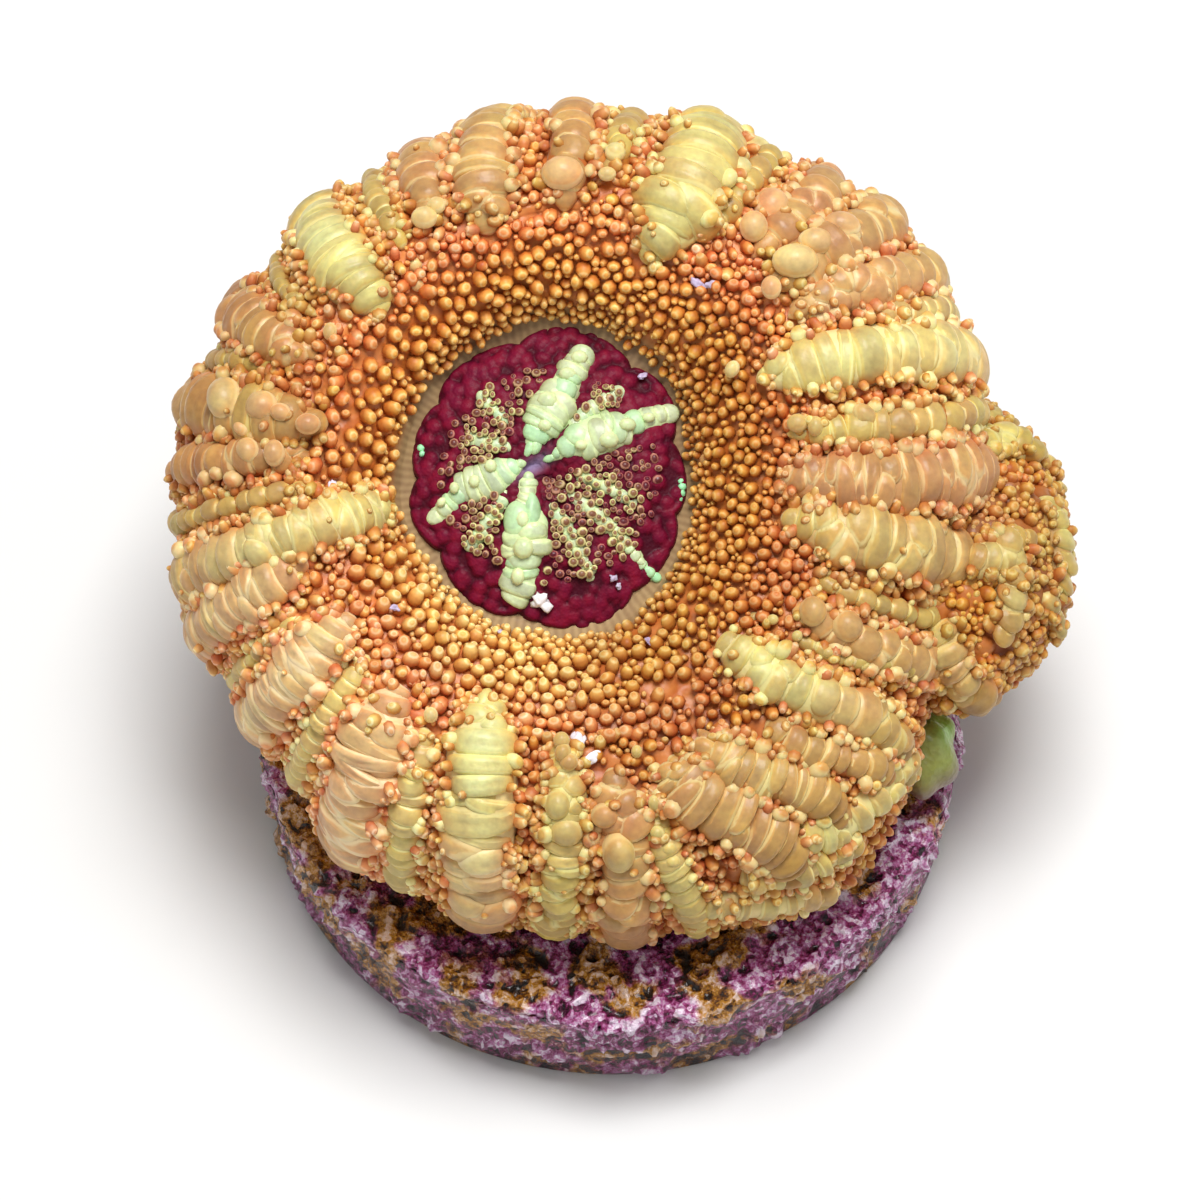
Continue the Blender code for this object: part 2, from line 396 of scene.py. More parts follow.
def plus(tree, first, second, clamp=False):
    """The sum of two values."""
    return maths(tree, "ADD", first, second, clamp)


def minus(tree, first, second):
    """The difference of two values."""
    return maths(tree, "SUBTRACT", first, second)


def off(tree, value, middle):
    """How far a value is from a middle one."""
    return maths(tree, "ABSOLUTE", minus(tree, value, middle))


def remap(tree, value, low, high, start=0.0, end=1.0):
    """A value from low to high, moved to start to end and held there."""
    inputs = {"Value": value, "From Min": low, "From Max": high, "To Min": start, "To Max": end}
    return node(tree, "ShaderNodeMapRange", inputs, clamp=True).outputs[0]


def ramp(tree, value, *stops):
    """A value turned into a colour between the stops, each given as a position and a colour."""
    made = node(tree, "ShaderNodeValToRGB", {0: value})
    steps = made.color_ramp.elements
    for position, _ in stops[2:]:
        steps.new(position)
    for step, (position, colour) in zip(steps, stops):
        step.position = position
        step.color = linear(*colour)
    return made.outputs[0]


def attribute(tree, name):
    """One of the piece's own masks."""
    return node(tree, "ShaderNodeAttribute", attribute_name=name).outputs["Fac"]


def place(tree):
    """The place on the object, in metres."""
    return node(tree, "ShaderNodeTexCoord").outputs["Object"]


def noise(tree, scale, detail, roughness=0.5):
    """Noise by the place on the object, mostly from 0.3 to 0.7."""
    inputs = {"Vector": place(tree), "Scale": scale, "Detail": detail, "Roughness": roughness}
    return node(tree, "ShaderNodeTexNoise", inputs).outputs[0]


def make_mottle_group():
    """Slow patches and fine flecks that make a colour a little lighter, darker and redder."""
    inputs = [("Colour", "Color", None), ("Size", "Float", 900.0), ("Amount", "Float", 0.3)]
    tree, given, out = group("mottle", inputs, [("Colour", "Color")])
    slow = noise(tree, given["Size"], detail=3.0)
    fast = noise(tree, times(tree, given["Size"], 4.3), detail=2.0)
    both = plus(tree, times(tree, slow, 0.65), times(tree, fast, 0.35))
    shift = times(tree, minus(tree, both, 0.5), given["Amount"])
    bright = plus(tree, times(tree, shift, 2.6), 1.0)
    hue = plus(tree, times(tree, shift, 0.09), 0.5)
    varied = node(tree, "ShaderNodeHueSaturation", {"Hue": hue, "Value": bright, "Color": given["Colour"]})
    tree.links.new(varied.outputs[0], out.inputs[0])
    return tree


def make_wet_grain_group():
    """The height of fine wet grain: small soft cells over slower ripples."""
    tree, given, out = group("wet grain", [("Size", "Float", 4000.0)], [("Height", "Float")])
    grain = node(tree, "ShaderNodeTexVoronoi", {"Vector": place(tree), "Scale": given["Size"]}, feature="F1")
    ripple = noise(tree, times(tree, given["Size"], 0.3), detail=3.0)
    tree.links.new(plus(tree, grain.outputs[0], times(tree, ripple, 0.5)), out.inputs[0])
    return tree


def make_painted_shade_group():
    """A colour made deeper and browner by painted shade, given as a mask from 0 to 1."""
    inputs = [("Colour", "Color", None), ("Dusk", "Float", 0.0)]
    tree, given, out = group("dusk", inputs, [("Colour", "Color")])
    tree.links.new(mix(tree, given["Dusk"], given["Colour"], PAINTED_SHADE_TINT, "MULTIPLY"), out.inputs[0])
    return tree


def make_seam_group():
    """From the height over the next fold: how much a place lies on the light line along the seam, and how much in the
    fold's see-through middle."""
    inputs = [("Gap", "Float", 1.0), ("Width", "Float", 0.1)]
    tree, given, out = group("seam", inputs, [("Line", "Float"), ("Middle", "Float")])
    share = maths(tree, "DIVIDE", given["Gap"], given["Width"])
    tree.links.new(remap(tree, share, 0.45, 1.1, 1.0, 0.0), out.inputs[0])
    tree.links.new(remap(tree, share, 1.3, 3.2), out.inputs[1])
    return tree


def make_stripes_group():
    """Fine stripes that point at the polyp's axis, from 0 to 1, by the sine of the angle round it."""
    tree, given, out = group("stripes round the mouth", [("Count", "Float", 120.0)], [("Stripe", "Float")])
    from_middle = {0: place(tree), 1: tuple(DISC_ANCHOR * MM)}
    apart = node(tree, "ShaderNodeVectorMath", from_middle, operation="SUBTRACT").outputs[0]
    x, y = (node(tree, "ShaderNodeVectorMath", {0: apart, 1: tuple(row)}, operation="DOT_PRODUCT").outputs["Value"]
            for row in LEANING[:2])
    angle = times(tree, maths(tree, "ARCTAN2", y, x), given["Count"])
    tree.links.new(plus(tree, times(tree, maths(tree, "SINE", angle), 0.5), 0.5), out.inputs[0])
    return tree


MOTTLE, WET_GRAIN, PAINTED_SHADE, SEAM, STRIPES = (
    make_mottle_group(), make_wet_grain_group(), make_painted_shade_group(), make_seam_group(), make_stripes_group())


def use(tree, shared, **values):
    """A shared group placed in a material with its own values."""
    return node(tree, "ShaderNodeGroup", values, node_tree=shared).outputs[0]


def seam_parts(tree):
    """How much a place lies on a pleat's light line, and how much in its darker heart."""
    seam = node(tree, "ShaderNodeGroup", {"Gap": attribute(tree, "gap")}, node_tree=SEAM)
    return seam.outputs["Line"], times(tree, seam.outputs["Middle"], attribute(tree, "heart"))


def new_material(name, roughness, coat, subsurface=0.0, scatter=(1.0, 0.45, 0.2), **others):
    """A material's tree and its Principled shader, with values for the shader's own sockets."""
    material = bpy.data.materials.new(name)
    material.use_nodes = True
    shader = material.node_tree.nodes["Principled BSDF"]
    values = {"Roughness": roughness, "Coat Weight": coat, "Coat Roughness": 0.2, "IOR": 1.38,
              "Subsurface Weight": subsurface, "Subsurface Radius": scatter, "Subsurface Scale": 0.0006}
    for socket, value in (values | others).items():
        shader.inputs[socket].default_value = value
    return material, material.node_tree, shader


def bump(tree, shader, height, strength, distance=0.0001):
    """A height that bends the light on the shader's surface."""
    made = node(tree, "ShaderNodeBump", {"Height": height, "Strength": strength, "Distance": distance})
    tree.links.new(made.outputs[0], shader.inputs["Normal"])


def wet_skin(tree, shader, colour, grain, strength, with_painted_shade=False):
    """A colour on the shader, made deeper and browner by painted shade where its mask says so, under fine wet grain."""
    if with_painted_shade:
        colour = use(tree, PAINTED_SHADE, Colour=colour, Dusk=attribute(tree, "dusk"))
    tree.links.new(colour, shader.inputs["Base Color"])
    bump(tree, shader, use(tree, WET_GRAIN, Size=grain), strength)


def lobe_material():
    """Pleated flesh, peach or yellow-green by the lobe's tint: see-through and darker at the heart of each pleat, with
    a thin bright line along its edge and a blush towards its ends. Painted light over that: a milk-white painted
    highlight near the crowns, painted shade as deeper orange down the sides into the creases, and browner painted
    shade."""
    sheen = {"Sheen Weight": 0.22, "Sheen Roughness": 0.35, "Sheen Tint": (1.0, 0.84, 0.55, 1.0)}
    material, tree, shader = new_material("pleated flesh", roughness=0.42, coat=0.15, subsurface=0.15, **sheen)
    patchy = noise(tree, scale=420.0, detail=2.0)
    tint = plus(tree, attribute(tree, "tint"), remap(tree, patchy, 0.3, 0.7, -0.2, 0.15), clamp=True)
    middle = mix(tree, tint, (229, 165, 110), (232, 204, 110))
    heart = mix(tree, tint, (198, 146, 102), (204, 184, 112))
    rim = mix(tree, tint, (255, 222, 170), (255, 250, 176))
    # The side colour is painted shade for the pleats' sides and the creases between them.
    side = mix(tree, tint, (206, 108, 52), (208, 132, 52))
    blush = mix(tree, tint, (240, 146, 92), (230, 164, 78))
    line, inside = seam_parts(tree)
    colour = mix(tree, inside, middle, heart)
    colour = mix(tree, times(tree, attribute(tree, "blush"), 0.8), colour, blush)
    # Painted highlight: milk-white and mint near the pleats' crowns.
    highlight_amount = times(tree, attribute(tree, "glow"), remap(tree, patchy, 0.35, 0.6, 0.35, 1.0))
    colour = mix(tree, highlight_amount, colour, (240, 250, 184))
    # Painted shade: deeper orange down the pleats' sides and undersides, into the creases.
    colour = mix(tree, remap(tree, attribute(tree, "crown"), -0.25, 0.35), side, colour)
    colour = use(tree, MOTTLE, Colour=colour, Size=650.0, Amount=0.5)
    colour = mix(tree, times(tree, line, attribute(tree, "line")), colour, rim)
    wet_skin(tree, shader, colour, grain=5200.0, strength=0.12, with_painted_shade=True)
    return material


def bead_material():
    """Beads from gold to salmon by their warmth, some of them pale: a light ring round the tip, and deeper orange down
    the sides towards the foot, which is painted shade where the beads crowd together."""
    material, tree, shader = new_material("beads", roughness=0.5, coat=0.06)
    warm, pale, tip = (attribute(tree, name) for name in ("warm", "pale", "tip"))

    def shade(gold, salmon, pale_gold, pale_salmon):
        """A colour between four, by warmth and paleness."""
        return mix(tree, pale, mix(tree, warm, gold, salmon), mix(tree, warm, pale_gold, pale_salmon))

    body = shade((240, 176, 72), (238, 138, 76), (234, 204, 116), (238, 176, 126))
    light = shade((255, 218, 126), (255, 188, 142), (255, 246, 180), (255, 228, 194))
    # The foot colour is painted shade, deeper orange towards each bead's foot.
    foot = shade((188, 102, 30), (196, 84, 40), (206, 150, 66), (214, 124, 80))
    colour = mix(tree, remap(tree, tip, 0.2, 0.75, 0.15, 1.0), foot, body)
    colour = mix(tree, remap(tree, off(tree, tip, 0.85), 0.02, 0.11, 0.75, 0.0), colour, light)
    colour = use(tree, MOTTLE, Colour=colour, Size=1200.0, Amount=0.35)
    wet_skin(tree, shader, colour, grain=6000.0, strength=0.08, with_painted_shade=True)
    return material


def mantle_material():
    """The flesh under everything: deep orange, browner underneath, and a see-through grey lip round the mouth with fine
    stripes across it."""
    material, tree, shader = new_material("mantle", roughness=0.45, coat=0.15)
    lip, under, knob = (attribute(tree, name) for name in ("lip", "under", "knob"))
    colour = mix(tree, knob, (206, 116, 50), (226, 146, 80))
    striped = mix(tree, use(tree, STRIPES), (158, 128, 90), (176, 146, 104))
    colour = mix(tree, lip, colour, striped)
    colour = mix(tree, under, colour, mix(tree, knob, (106, 66, 46), (152, 106, 76)))
    colour = use(tree, MOTTLE, Colour=colour, Size=500.0, Amount=0.35)
    wet_skin(tree, shader, colour, grain=4200.0, strength=0.15, with_painted_shade=True)
    return material


def disc_material():
    """Velvety maroon with pinker tops on its bubbles, lilac in the slit."""
    material, tree, shader = new_material("mouth disc", roughness=0.6, coat=0.05, **{"Specular IOR Level": 0.2})
    colour = mix(tree, attribute(tree, "knob"), (72, 4, 26), (122, 10, 46))
    colour = mix(tree, attribute(tree, "slit"), colour, (150, 130, 165))
    colour = use(tree, MOTTLE, Colour=colour, Size=1500.0, Amount=0.4)
    wet_skin(tree, shader, colour, grain=7000.0, strength=0.3)
    return material


def rib_material():
    """Cream-green flesh of the mouth's ribs, greyer at the heart of each bubble, with a darker olive down the sides
    that is painted shade.
    """
    material, tree, shader = new_material("cream ribs", roughness=0.4, coat=0.25, subsurface=0.1,
                                          scatter=(0.8, 1.0, 0.5))
    line, inside = seam_parts(tree)
    top = mix(tree, inside, (216, 234, 176), (190, 198, 162))
    # Painted shade: darker olive down the ribs' sides.
    colour = mix(tree, remap(tree, attribute(tree, "crown"), 0.1, 0.9), (150, 150, 66), top)
    colour = mix(tree, line, colour, (226, 238, 176))
    colour = mix(tree, attribute(tree, "tint"), colour, (160, 236, 174))
    colour = use(tree, MOTTLE, Colour=colour, Size=1400.0, Amount=0.4)
    wet_skin(tree, shader, colour, grain=6000.0, strength=0.1)
    return material


def ringlet_material():
    """The disc's small bubbles: a cream ring round a maroon eye, over a cream or maroon body."""
    material, tree, shader = new_material("ringlets", roughness=0.35, coat=0.3)
    tip, pale = attribute(tree, "tip"), attribute(tree, "pale")
    body = mix(tree, pale, (124, 26, 52), (196, 190, 112))
    eye = mix(tree, pale, (92, 14, 34), (146, 104, 70))
    line = mix(tree, pale, (200, 124, 116), (240, 238, 172))
    colour = mix(tree, remap(tree, tip, 0.74, 0.84), body, eye)
    colour = mix(tree, remap(tree, off(tree, tip, 0.5), 0.12, 0.3, 0.85, 0.0), colour, line)
    colour = use(tree, MOTTLE, Colour=colour, Size=1500.0, Amount=0.2)
    wet_skin(tree, shader, colour, grain=7000.0, strength=0.1)
    return material


def fleck_material():
    """Crumbs from lilac to white."""
    material, tree, shader = new_material("flecks", roughness=0.4, coat=0.3)
    colour = mix(tree, attribute(tree, "white"), (178, 156, 196), (244, 242, 244))
    tree.links.new(use(tree, MOTTLE, Colour=colour, Size=2500.0, Amount=0.3), shader.inputs["Base Color"])
    return material


def knob_material():
    """Smooth brown-grey tissue, green at the top, with one bright green spot that is a painted highlight."""
    material, tree, shader = new_material("green tissue", roughness=0.35, coat=0.3, subsurface=0.1)
    colour = mix(tree, remap(tree, attribute(tree, "crown"), 0.0, 0.6), (118, 92, 72), (146, 152, 78))
    # Painted highlight: a bright green spot near the top.
    colour = mix(tree, attribute(tree, "glow"), colour, (150, 200, 84))
    colour = use(tree, MOTTLE, Colour=colour, Size=900.0, Amount=0.5)
    wet_skin(tree, shader, colour, grain=4200.0, strength=0.3)
    return material


# The crust's colours by its lightness: (lightness, screen values). The whitest stops stand both for white crust and for
# painted glints on the wet grains.
PINK_CRUST = ((0.0, (20, 5, 14)), (0.22, (92, 14, 58)), (0.4, (156, 50, 112)), (0.58, (198, 124, 176)),
              (0.8, (248, 228, 246)))
BROWN_CRUST = ((0.0, (12, 6, 3)), (0.2, (60, 30, 6)), (0.38, (134, 78, 10)), (0.58, (198, 136, 34)),
               (0.9, (240, 208, 190)))


def crust_material():
    """Coralline crust in grains of about a quarter millimetre: magenta, lilac and white where it grows well, and
    golden brown to black between. The lightest grains turn white, partly as painted glints. Rims and the plug's
    edge are whiter, pits darker, and the lower wall greyer."""
    material, tree, shader = new_material("crusted ceramic", roughness=0.25, coat=0.55)
    rim, pit, edge, low = (attribute(tree, name) for name in ("rim", "pit", "edge", "low"))
    fine = remap(tree, noise(tree, scale=1700.0, detail=4.0, roughness=0.7), 0.36, 0.64)
    grains = node(tree, "ShaderNodeTexVoronoi", {"Vector": place(tree), "Scale": 3400.0, "Detail": 1.0})
    grain_tone_and_glint = node(tree, "ShaderNodeSeparateColor", {0: grains.outputs["Color"]}).outputs[0]
    # Each grain's own lightness, which turns the lightest grains white, partly as painted glints.
    light = plus(tree, times(tree, grain_tone_and_glint, 0.42), times(tree, fine, 0.5))
    raised = times(tree, maths(tree, "MAXIMUM", rim, times(tree, edge, 0.4)), 0.38)
    light = plus(tree, light, minus(tree, raised, times(tree, pit, 0.5)))
    light = minus(tree, light, 0.175)
    browner = remap(tree, minus(tree, noise(tree, scale=330.0, detail=5.0), times(tree, edge, 0.03)), 0.475, 0.53)
    colour = mix(tree, browner, ramp(tree, light, *PINK_CRUST), ramp(tree, light, *BROWN_CRUST))
    colour = mix(tree, times(tree, low, 0.3), colour, (88, 76, 80))
    tree.links.new(colour, shader.inputs["Base Color"])
    bump(tree, shader, plus(tree, grains.outputs["Distance"], fine), strength=0.8, distance=0.0002)
    return material


# ---------------------------------------------------------------- pleated lobes

# Each lobe on the cushion: around and section at its inner end, around and section at its outer end, width,
# tint at the inner and outer end, softness of its creases, length of a pleat. Tint runs from 0, peach, to 1,
# yellow-green. An outer section of None runs down as far as the flesh is clear of the plug.
Lobe = namedtuple("Lobe", "around section end end_section width tint end_tint softness pitch")
LOBES = [Lobe(*row) for row in (
    (26, 108, 23, None, 3.4, 1.0, 0.5, 0.45, 0.85),
    (11, 99, 17, None, 2.1, 0.75, 0.75, 0.0, 0.77),
    (0, 104, 9, None, 3.5, 0.1, 0.1, 0.15, 0.7),
    (-10, 102, -5, None, 3.7, 0.6, 0.4, 0.2, 0.85),
    (-21, 84, -14, None, 1.5, 0.8, 0.9, 0.0, 0.71),
    (-29, 89, -21, None, 2.4, 0.2, 0.3, 0.1, 0.85),
    (-34, 85, -27, 20, 1.2, 0.8, 0.8, 0.0, 0.66),
    (-45, 108, -37, 22, 2.7, 0.95, 0.6, 0.45, 0.77),
    (-50, 80, -42, 22, 2.2, 0.4, 0.4, 0.0, 0.64),
    (-62, 90, -51, 38, 2.7, 0.4, 0.5, 0.1, 0.58),
    (-70, 86, -60, 34, 3.2, 0.35, 0.4, 0.1, 0.62),
    (-57, 48, -39, 14, 2.3, 0.9, 0.9, 0.4, 0.62),
    (-66, 37, -52, 26, 2.0, 0.75, 0.75, 0.2, 0.55),
    (-73, 27, -58, 10, 2.2, 0.8, 0.6, 0.3, 0.55),
    (-76, 70, -74, None, 2.0, 0.8, 1.0, 0.25, 0.51),
    (-81, 85, -84, None, 3.0, 0.15, 0.2, 0.1, 0.86),
    (-90, 95, -94, None, 2.4, 0.8, 1.0, 0.25, 0.58),
    (-107, 109, -105, None, 3.9, 1.0, 0.05, 0.8, 0.7),
    (-119, 85, -117, None, 2.1, 0.75, 0.85, 0.15, 0.62),
    (-128, 92, -126, None, 4.0, 0.05, 0.05, 0.7, 0.68),
    (-138, 88, -138, None, 1.8, 0.8, 0.8, 0.0, 0.62),
    (-147, 92, -149, None, 3.5, 0.1, 0.1, 0.7, 0.64),
    (-155, 70, -156, None, 1.3, 0.8, 0.8, 0.0, 0.71),
    (-163, 87, -164, None, 3.1, 0.1, 0.15, 0.6, 0.6),
    (-168, 141, -172, None, 3.0, 0.85, 0.2, 0.4, 0.66),
    (-178, 96, -180, None, 1.6, 0.7, 0.7, 0.0, 0.76),
    (174, 92, 172, None, 2.4, 0.05, 0.1, 0.0, 0.7),
    (167, 98, 162, None, 3.4, 0.4, 0.25, 0.1, 0.9),
    (157, 66, 156, None, 1.6, 0.7, 0.7, 0.0, 0.9),
    (153, 80, 146, None, 3.1, 0.15, 0.15, 0.1, 0.7),
    (145, 71, 137, None, 1.3, 0.85, 0.85, 0.0, 0.85),
    (136, 101, 130, None, 3.7, 0.95, 0.8, 0.5, 0.7),
    (124, 80, 121, None, 1.6, 0.8, 0.8, 0.0, 0.85),
    (116, 78, 113, None, 2.7, 0.2, 0.2, 0.1, 0.85),
    (106, 95, 102, None, 3.7, 0.4, 0.4, 0.15, 0.81),
    (90, 93, 92, None, 2.8, 0.25, 0.3, 0.0, 1.06),
    (83, 74, 84, None, 2.1, 0.75, 0.75, 0.0, 0.94),
    (68, 109, 73, None, 4.4, 0.9, 1.0, 0.45, 0.85),
    (61, 83, 64, None, 2.0, 0.75, 0.8, 0.0, 0.94),
    (51, 82, 56, None, 2.8, 0.15, 0.2, 0.1, 0.98),
    (44, 88, 46, None, 3.3, 0.3, 0.3, 0.1, 1.02),
    (37, 88, 36, None, 2.8, 0.15, 0.6, 0.15, 0.81),
    (31, 60, 30, None, 1.9, 0.6, 0.8, 0.1, 0.72),
)]
LOWEST_SECTION = -46.0
SIDES = ("right", "back", "left", "front")
PLEAT_RINGS = np.radians([14.0, 27.0, 40.0, 53.0, 66.0, 78.0, 92.0, 115.0, 145.0])
PLEAT_SIDES = 24
PLEAT_ROUNDING = 0.9  # below 1 the pillows' tops are flatter than an oval's
PLEAT_OVERLAP = 0.68  # a pleat's half length as a share of its pitch
PARTED_SHARE, PARTED_WIDTH = 0.3, 2.2  # how many pleats of a row are parted in two, where it is wider than that
PARTED_TURN = 0.55  # how far the two are turned apart about the row, in radians
ASKEW = 0.14  # how far a pleat is turned out of line
STEP = 0.004  # the share of a row's way between two places that give its direction
FAR_OFF = -9.0  # the height of a pillow beyond its edge
CORE_SIDES = 16
BULB_ANGLES = np.radians([18.0, 42.0, 66.0, 92.0, 130.0])
BULB_SIDES = 10
LEAST_CLEARANCE = 0.3  # of the middles of bulbs and vesicles over the plug
SIDE_VESICLES, START_VESICLES, TOP_VESICLES = 0.85, 0.5, 0.08  # the shares of the pleats that have them
# The flesh's masks, where nothing is said about them.
PLAIN_FLESH = dict.fromkeys(("line", "heart", "glow", "blush", "gap", "crown", "tint", "dusk"), 0.0)


def strip_share(along, taper):
    """A strip's size along its way, as a share of the full size: rounded ends, and a taper at either end. taper gives
    the size at the start, the share of the way over which it grows to full size, and the size at the end."""
    ends = np.sqrt(np.clip(1.0 - np.abs(2.0 * along - 1.0) ** 14, 0.0, 1.0))
    grow = taper[0] + (1.0 - taper[0]) * smooth_step(along / taper[1])
    return ends * grow * (1.0 - (1.0 - taper[2]) * rise(along, 0.65, 0.35))


def painted_shade_by_direction(around, section=40.0):
    """How much shade is painted on the flesh, 0 to 1, by its direction: most on the right and in front and there still
    more towards the foot, and some on the left."""
    front = 1.0 - rise(np.abs(turned(around + 45.0)), 52.0, 26.0)
    low = 1.0 - rise(section, -5.0, 30.0)
    return np.clip(front * (0.7 + 0.6 * low) + 0.35 * near(around, 158.0, 22.0), 0.0, 1.0)


def painted_shade_at_back(around):
    """How much shade is painted on the lobes at the back and on the left, where the light falls on them from above."""
    return 0.6 * (1.0 - rise(np.abs(turned(around - 112.0)), 66.0, 30.0))


def plan_squareness(slenderness):
    """The exponent of a pillow's outline: near an oval where it is short, a little squarer where it is long."""
    return np.clip(1.5 + 0.3 * slenderness, 2.0, 2.8)


def pillow_top(angle, ahead, sizes, arcs, slide):
    """How high a pillow's top stands at an angle about its row and a distance ahead of its middle. Its plan is a
    superellipse in the share of its span and of its half length, and its height over its edge falls off like an
    oval's."""
    half_width, tall, half_length, thick = sizes
    middle, span = arcs
    _, bow, tilt = slide
    squareness = plan_squareness(half_width * span / half_length)
    x = (angle - middle) / span
    y = ahead / half_length + bow * x**2
    reach = np.minimum((np.abs(x) ** squareness + np.abs(y) ** squareness) ** (1.0 / squareness), 1.0)
    lift = thick * (1.0 - reach ** (2.0 / PLEAT_ROUNDING)) ** (0.5 * PLEAT_ROUNDING)
    return np.where(reach < 1.0, tall - thick + lift + tilt * y * thick, FAR_OFF)


def spread_out(values):
    """Numbers or directions for each shape, laid out to meet its rings and points."""
    return [v[:, None, None] for v in values]


def add_pleats(shapes, axes, station, sizes, arcs, slide, masks):
    """Pleats: pillows with rounded ends, each bent over the row like a rib.

    On its own plan a pillow is a superellipse, X from -1 to 1 along the rib and Y from -1 to 1 along the row, and its
    rings run from its top to its underside. X becomes an angle about the row's own line, from the middle and half
    span in arcs. The pillow's thickness is added to the radius there. sizes holds the half width, the height, the half
    length along the row and the thickness. slide holds the forward lean of the top, the bow, by which the ends fall
    behind the middle, and the tilt that lifts the front edge like a roof tile's. axes holds the centre and the
    across, out and forward directions, and station the distance along the row. The gap mask is the height over the
    next pillow, so it is 0 along the seam, and no more than the distance to the pillow's own edge.
    """
    (centre, across, out, forward), sizes, arcs, slide = map(spread_out, (axes, sizes, arcs, slide))
    half_width, tall, half_length, thick = sizes
    lean, bow, tilt = slide
    ring, turn = PLEAT_RINGS[:, None], turns(PLEAT_SIDES)
    squareness = plan_squareness(half_width * arcs[1] / half_length)
    plan_x = np.cos(turn) + 0.0 * ring
    plan_y = np.sign(np.sin(turn)) * (1.0 - np.abs(np.cos(turn)) ** squareness) ** (1.0 / squareness)
    reach = np.sin(ring) ** PLEAT_ROUNDING + 0.0 * turn
    x, y = reach * plan_x, reach * plan_y
    lift = np.sign(np.cos(ring)) * np.abs(np.cos(ring)) ** PLEAT_ROUNDING * thick + tilt * y * thick
    angle = arcs[0] + arcs[1] * x
    side = (np.maximum(half_width - thick, 0.05 * half_width) + lift) * np.sin(angle)
    up = (np.maximum(tall - thick, 0.1 * tall) + lift) * np.cos(angle)
    flat_ahead = half_length * (y - bow * x**2)
    ahead = flat_ahead + lean * np.clip(up / tall, -0.2, 1.2)
    points = centre + side[..., None] * across + up[..., None] * out + ahead[..., None] * forward
    points = points + (0.1 * thick * (lumps(points, 0.7, salt=13) - 0.5))[..., None] * out

    edge = (1.0 - reach) * np.sqrt((half_width * arcs[1] * plan_x) ** 2 + (half_length * plan_y) ** 2)
    gap = edge + 0.0 * angle
    height = tall - thick + lift
    where = station[:, None, None] + flat_ahead
    for other in (-2, -1, 1, 2):
        next_ones = [[np.roll(v, -other, axis=0) for v in values] for values in (sizes, arcs, slide)]
        there = pillow_top(angle, where - np.roll(station, -other)[:, None, None], *next_ones)
        gap = np.minimum(gap, np.abs(height - there))
    masks = dict(zip(masks, spread_out(masks.values())))
    masks["gap"] = gap
    masks["crown"] = np.cos(angle) - 0.8 * rise(ring, 1.5, 0.6)
    # The painted highlight is kept near the top of each pleat.
    masks["glow"] = masks["glow"] * bell(angle / 0.75)
    masks["blush"] = rise(np.abs(angle), 0.55, 0.6)
    shapes.add(above_plug(points, 0.08), masks)


def row_axes(way, along, askew):
    """Places on a row and the directions there, turned askew by some amount: across it, out of the flesh and forward
    along it."""
    centre, out = way(along)
    forward = unit(way(along + STEP)[0] - way(along - STEP)[0])
    across = unit(np.cross(out, forward))
    forward = np.cross(across, out)
    return centre, unit(across - askew * forward), out, unit(forward + askew * across)


def pleat_marks(length, width, pitch, spread, rng):
    """Where a row's pleats stand, as shares of its way, the length of row that each takes up, and a number that is 0,
    or -1 and 1 for the two halves of a parted pleat, with the side, -1 or 1, to which the first of them turns."""
    count = max(2, round(length / pitch))
    bounds = np.cumsum(np.concatenate([[0.0], rng.uniform(1.0 - spread, 1.0 + spread, count)]))
    bounds /= bounds[-1]
    parted = rng.random(count) < (PARTED_SHARE if width > PARTED_WIDTH else 0.0)
    pick = np.repeat(np.arange(count), 1 + parted)
    twin = np.where(parted[pick], np.where(np.diff(pick, prepend=-1) > 0, -1.0, 1.0), 0.0)
    flip = rng.choice([-1.0, 1.0], count)[pick]
    step = (length * np.diff(bounds))[pick]
    along = np.clip(((bounds[:-1] + bounds[1:]) / 2)[pick] + 0.2 * twin * step / length, STEP, 1.0 - STEP)
    return along, step, twin, flip


def add_core(shapes, way, count, width, height, taper, softness, tint, dusk):
    """The plain core under a row: a tube, flatter below, that fills the creases of a soft row."""
    stations = np.linspace(0.01, 0.99, count)
    spine, beside, up, _ = row_axes(way, stations, 0.0)
    turn = turns(CORE_SIDES)
    soft = min(1.0, softness / 0.35)
    fill = 0.76 + 0.06 * soft
    slim = strip_share(stations, taper)[:, None]
    sideways = 0.5 * width * fill * slim * np.sin(turn)
    upwards = height * fill * slim * np.where(np.cos(turn) > 0, np.cos(turn), 0.4 * np.cos(turn))
    core = spine[:, None] + sideways[..., None] * beside[:, None] + upwards[..., None] * up[:, None]
    masks = {"line": 0.8 * soft, "crown": 0.55 * soft - 0.2, "tint": float(np.mean(tint)), "dusk": dusk}
    shapes.add(above_plug(core, 0.06)[None], PLAIN_FLESH | masks)


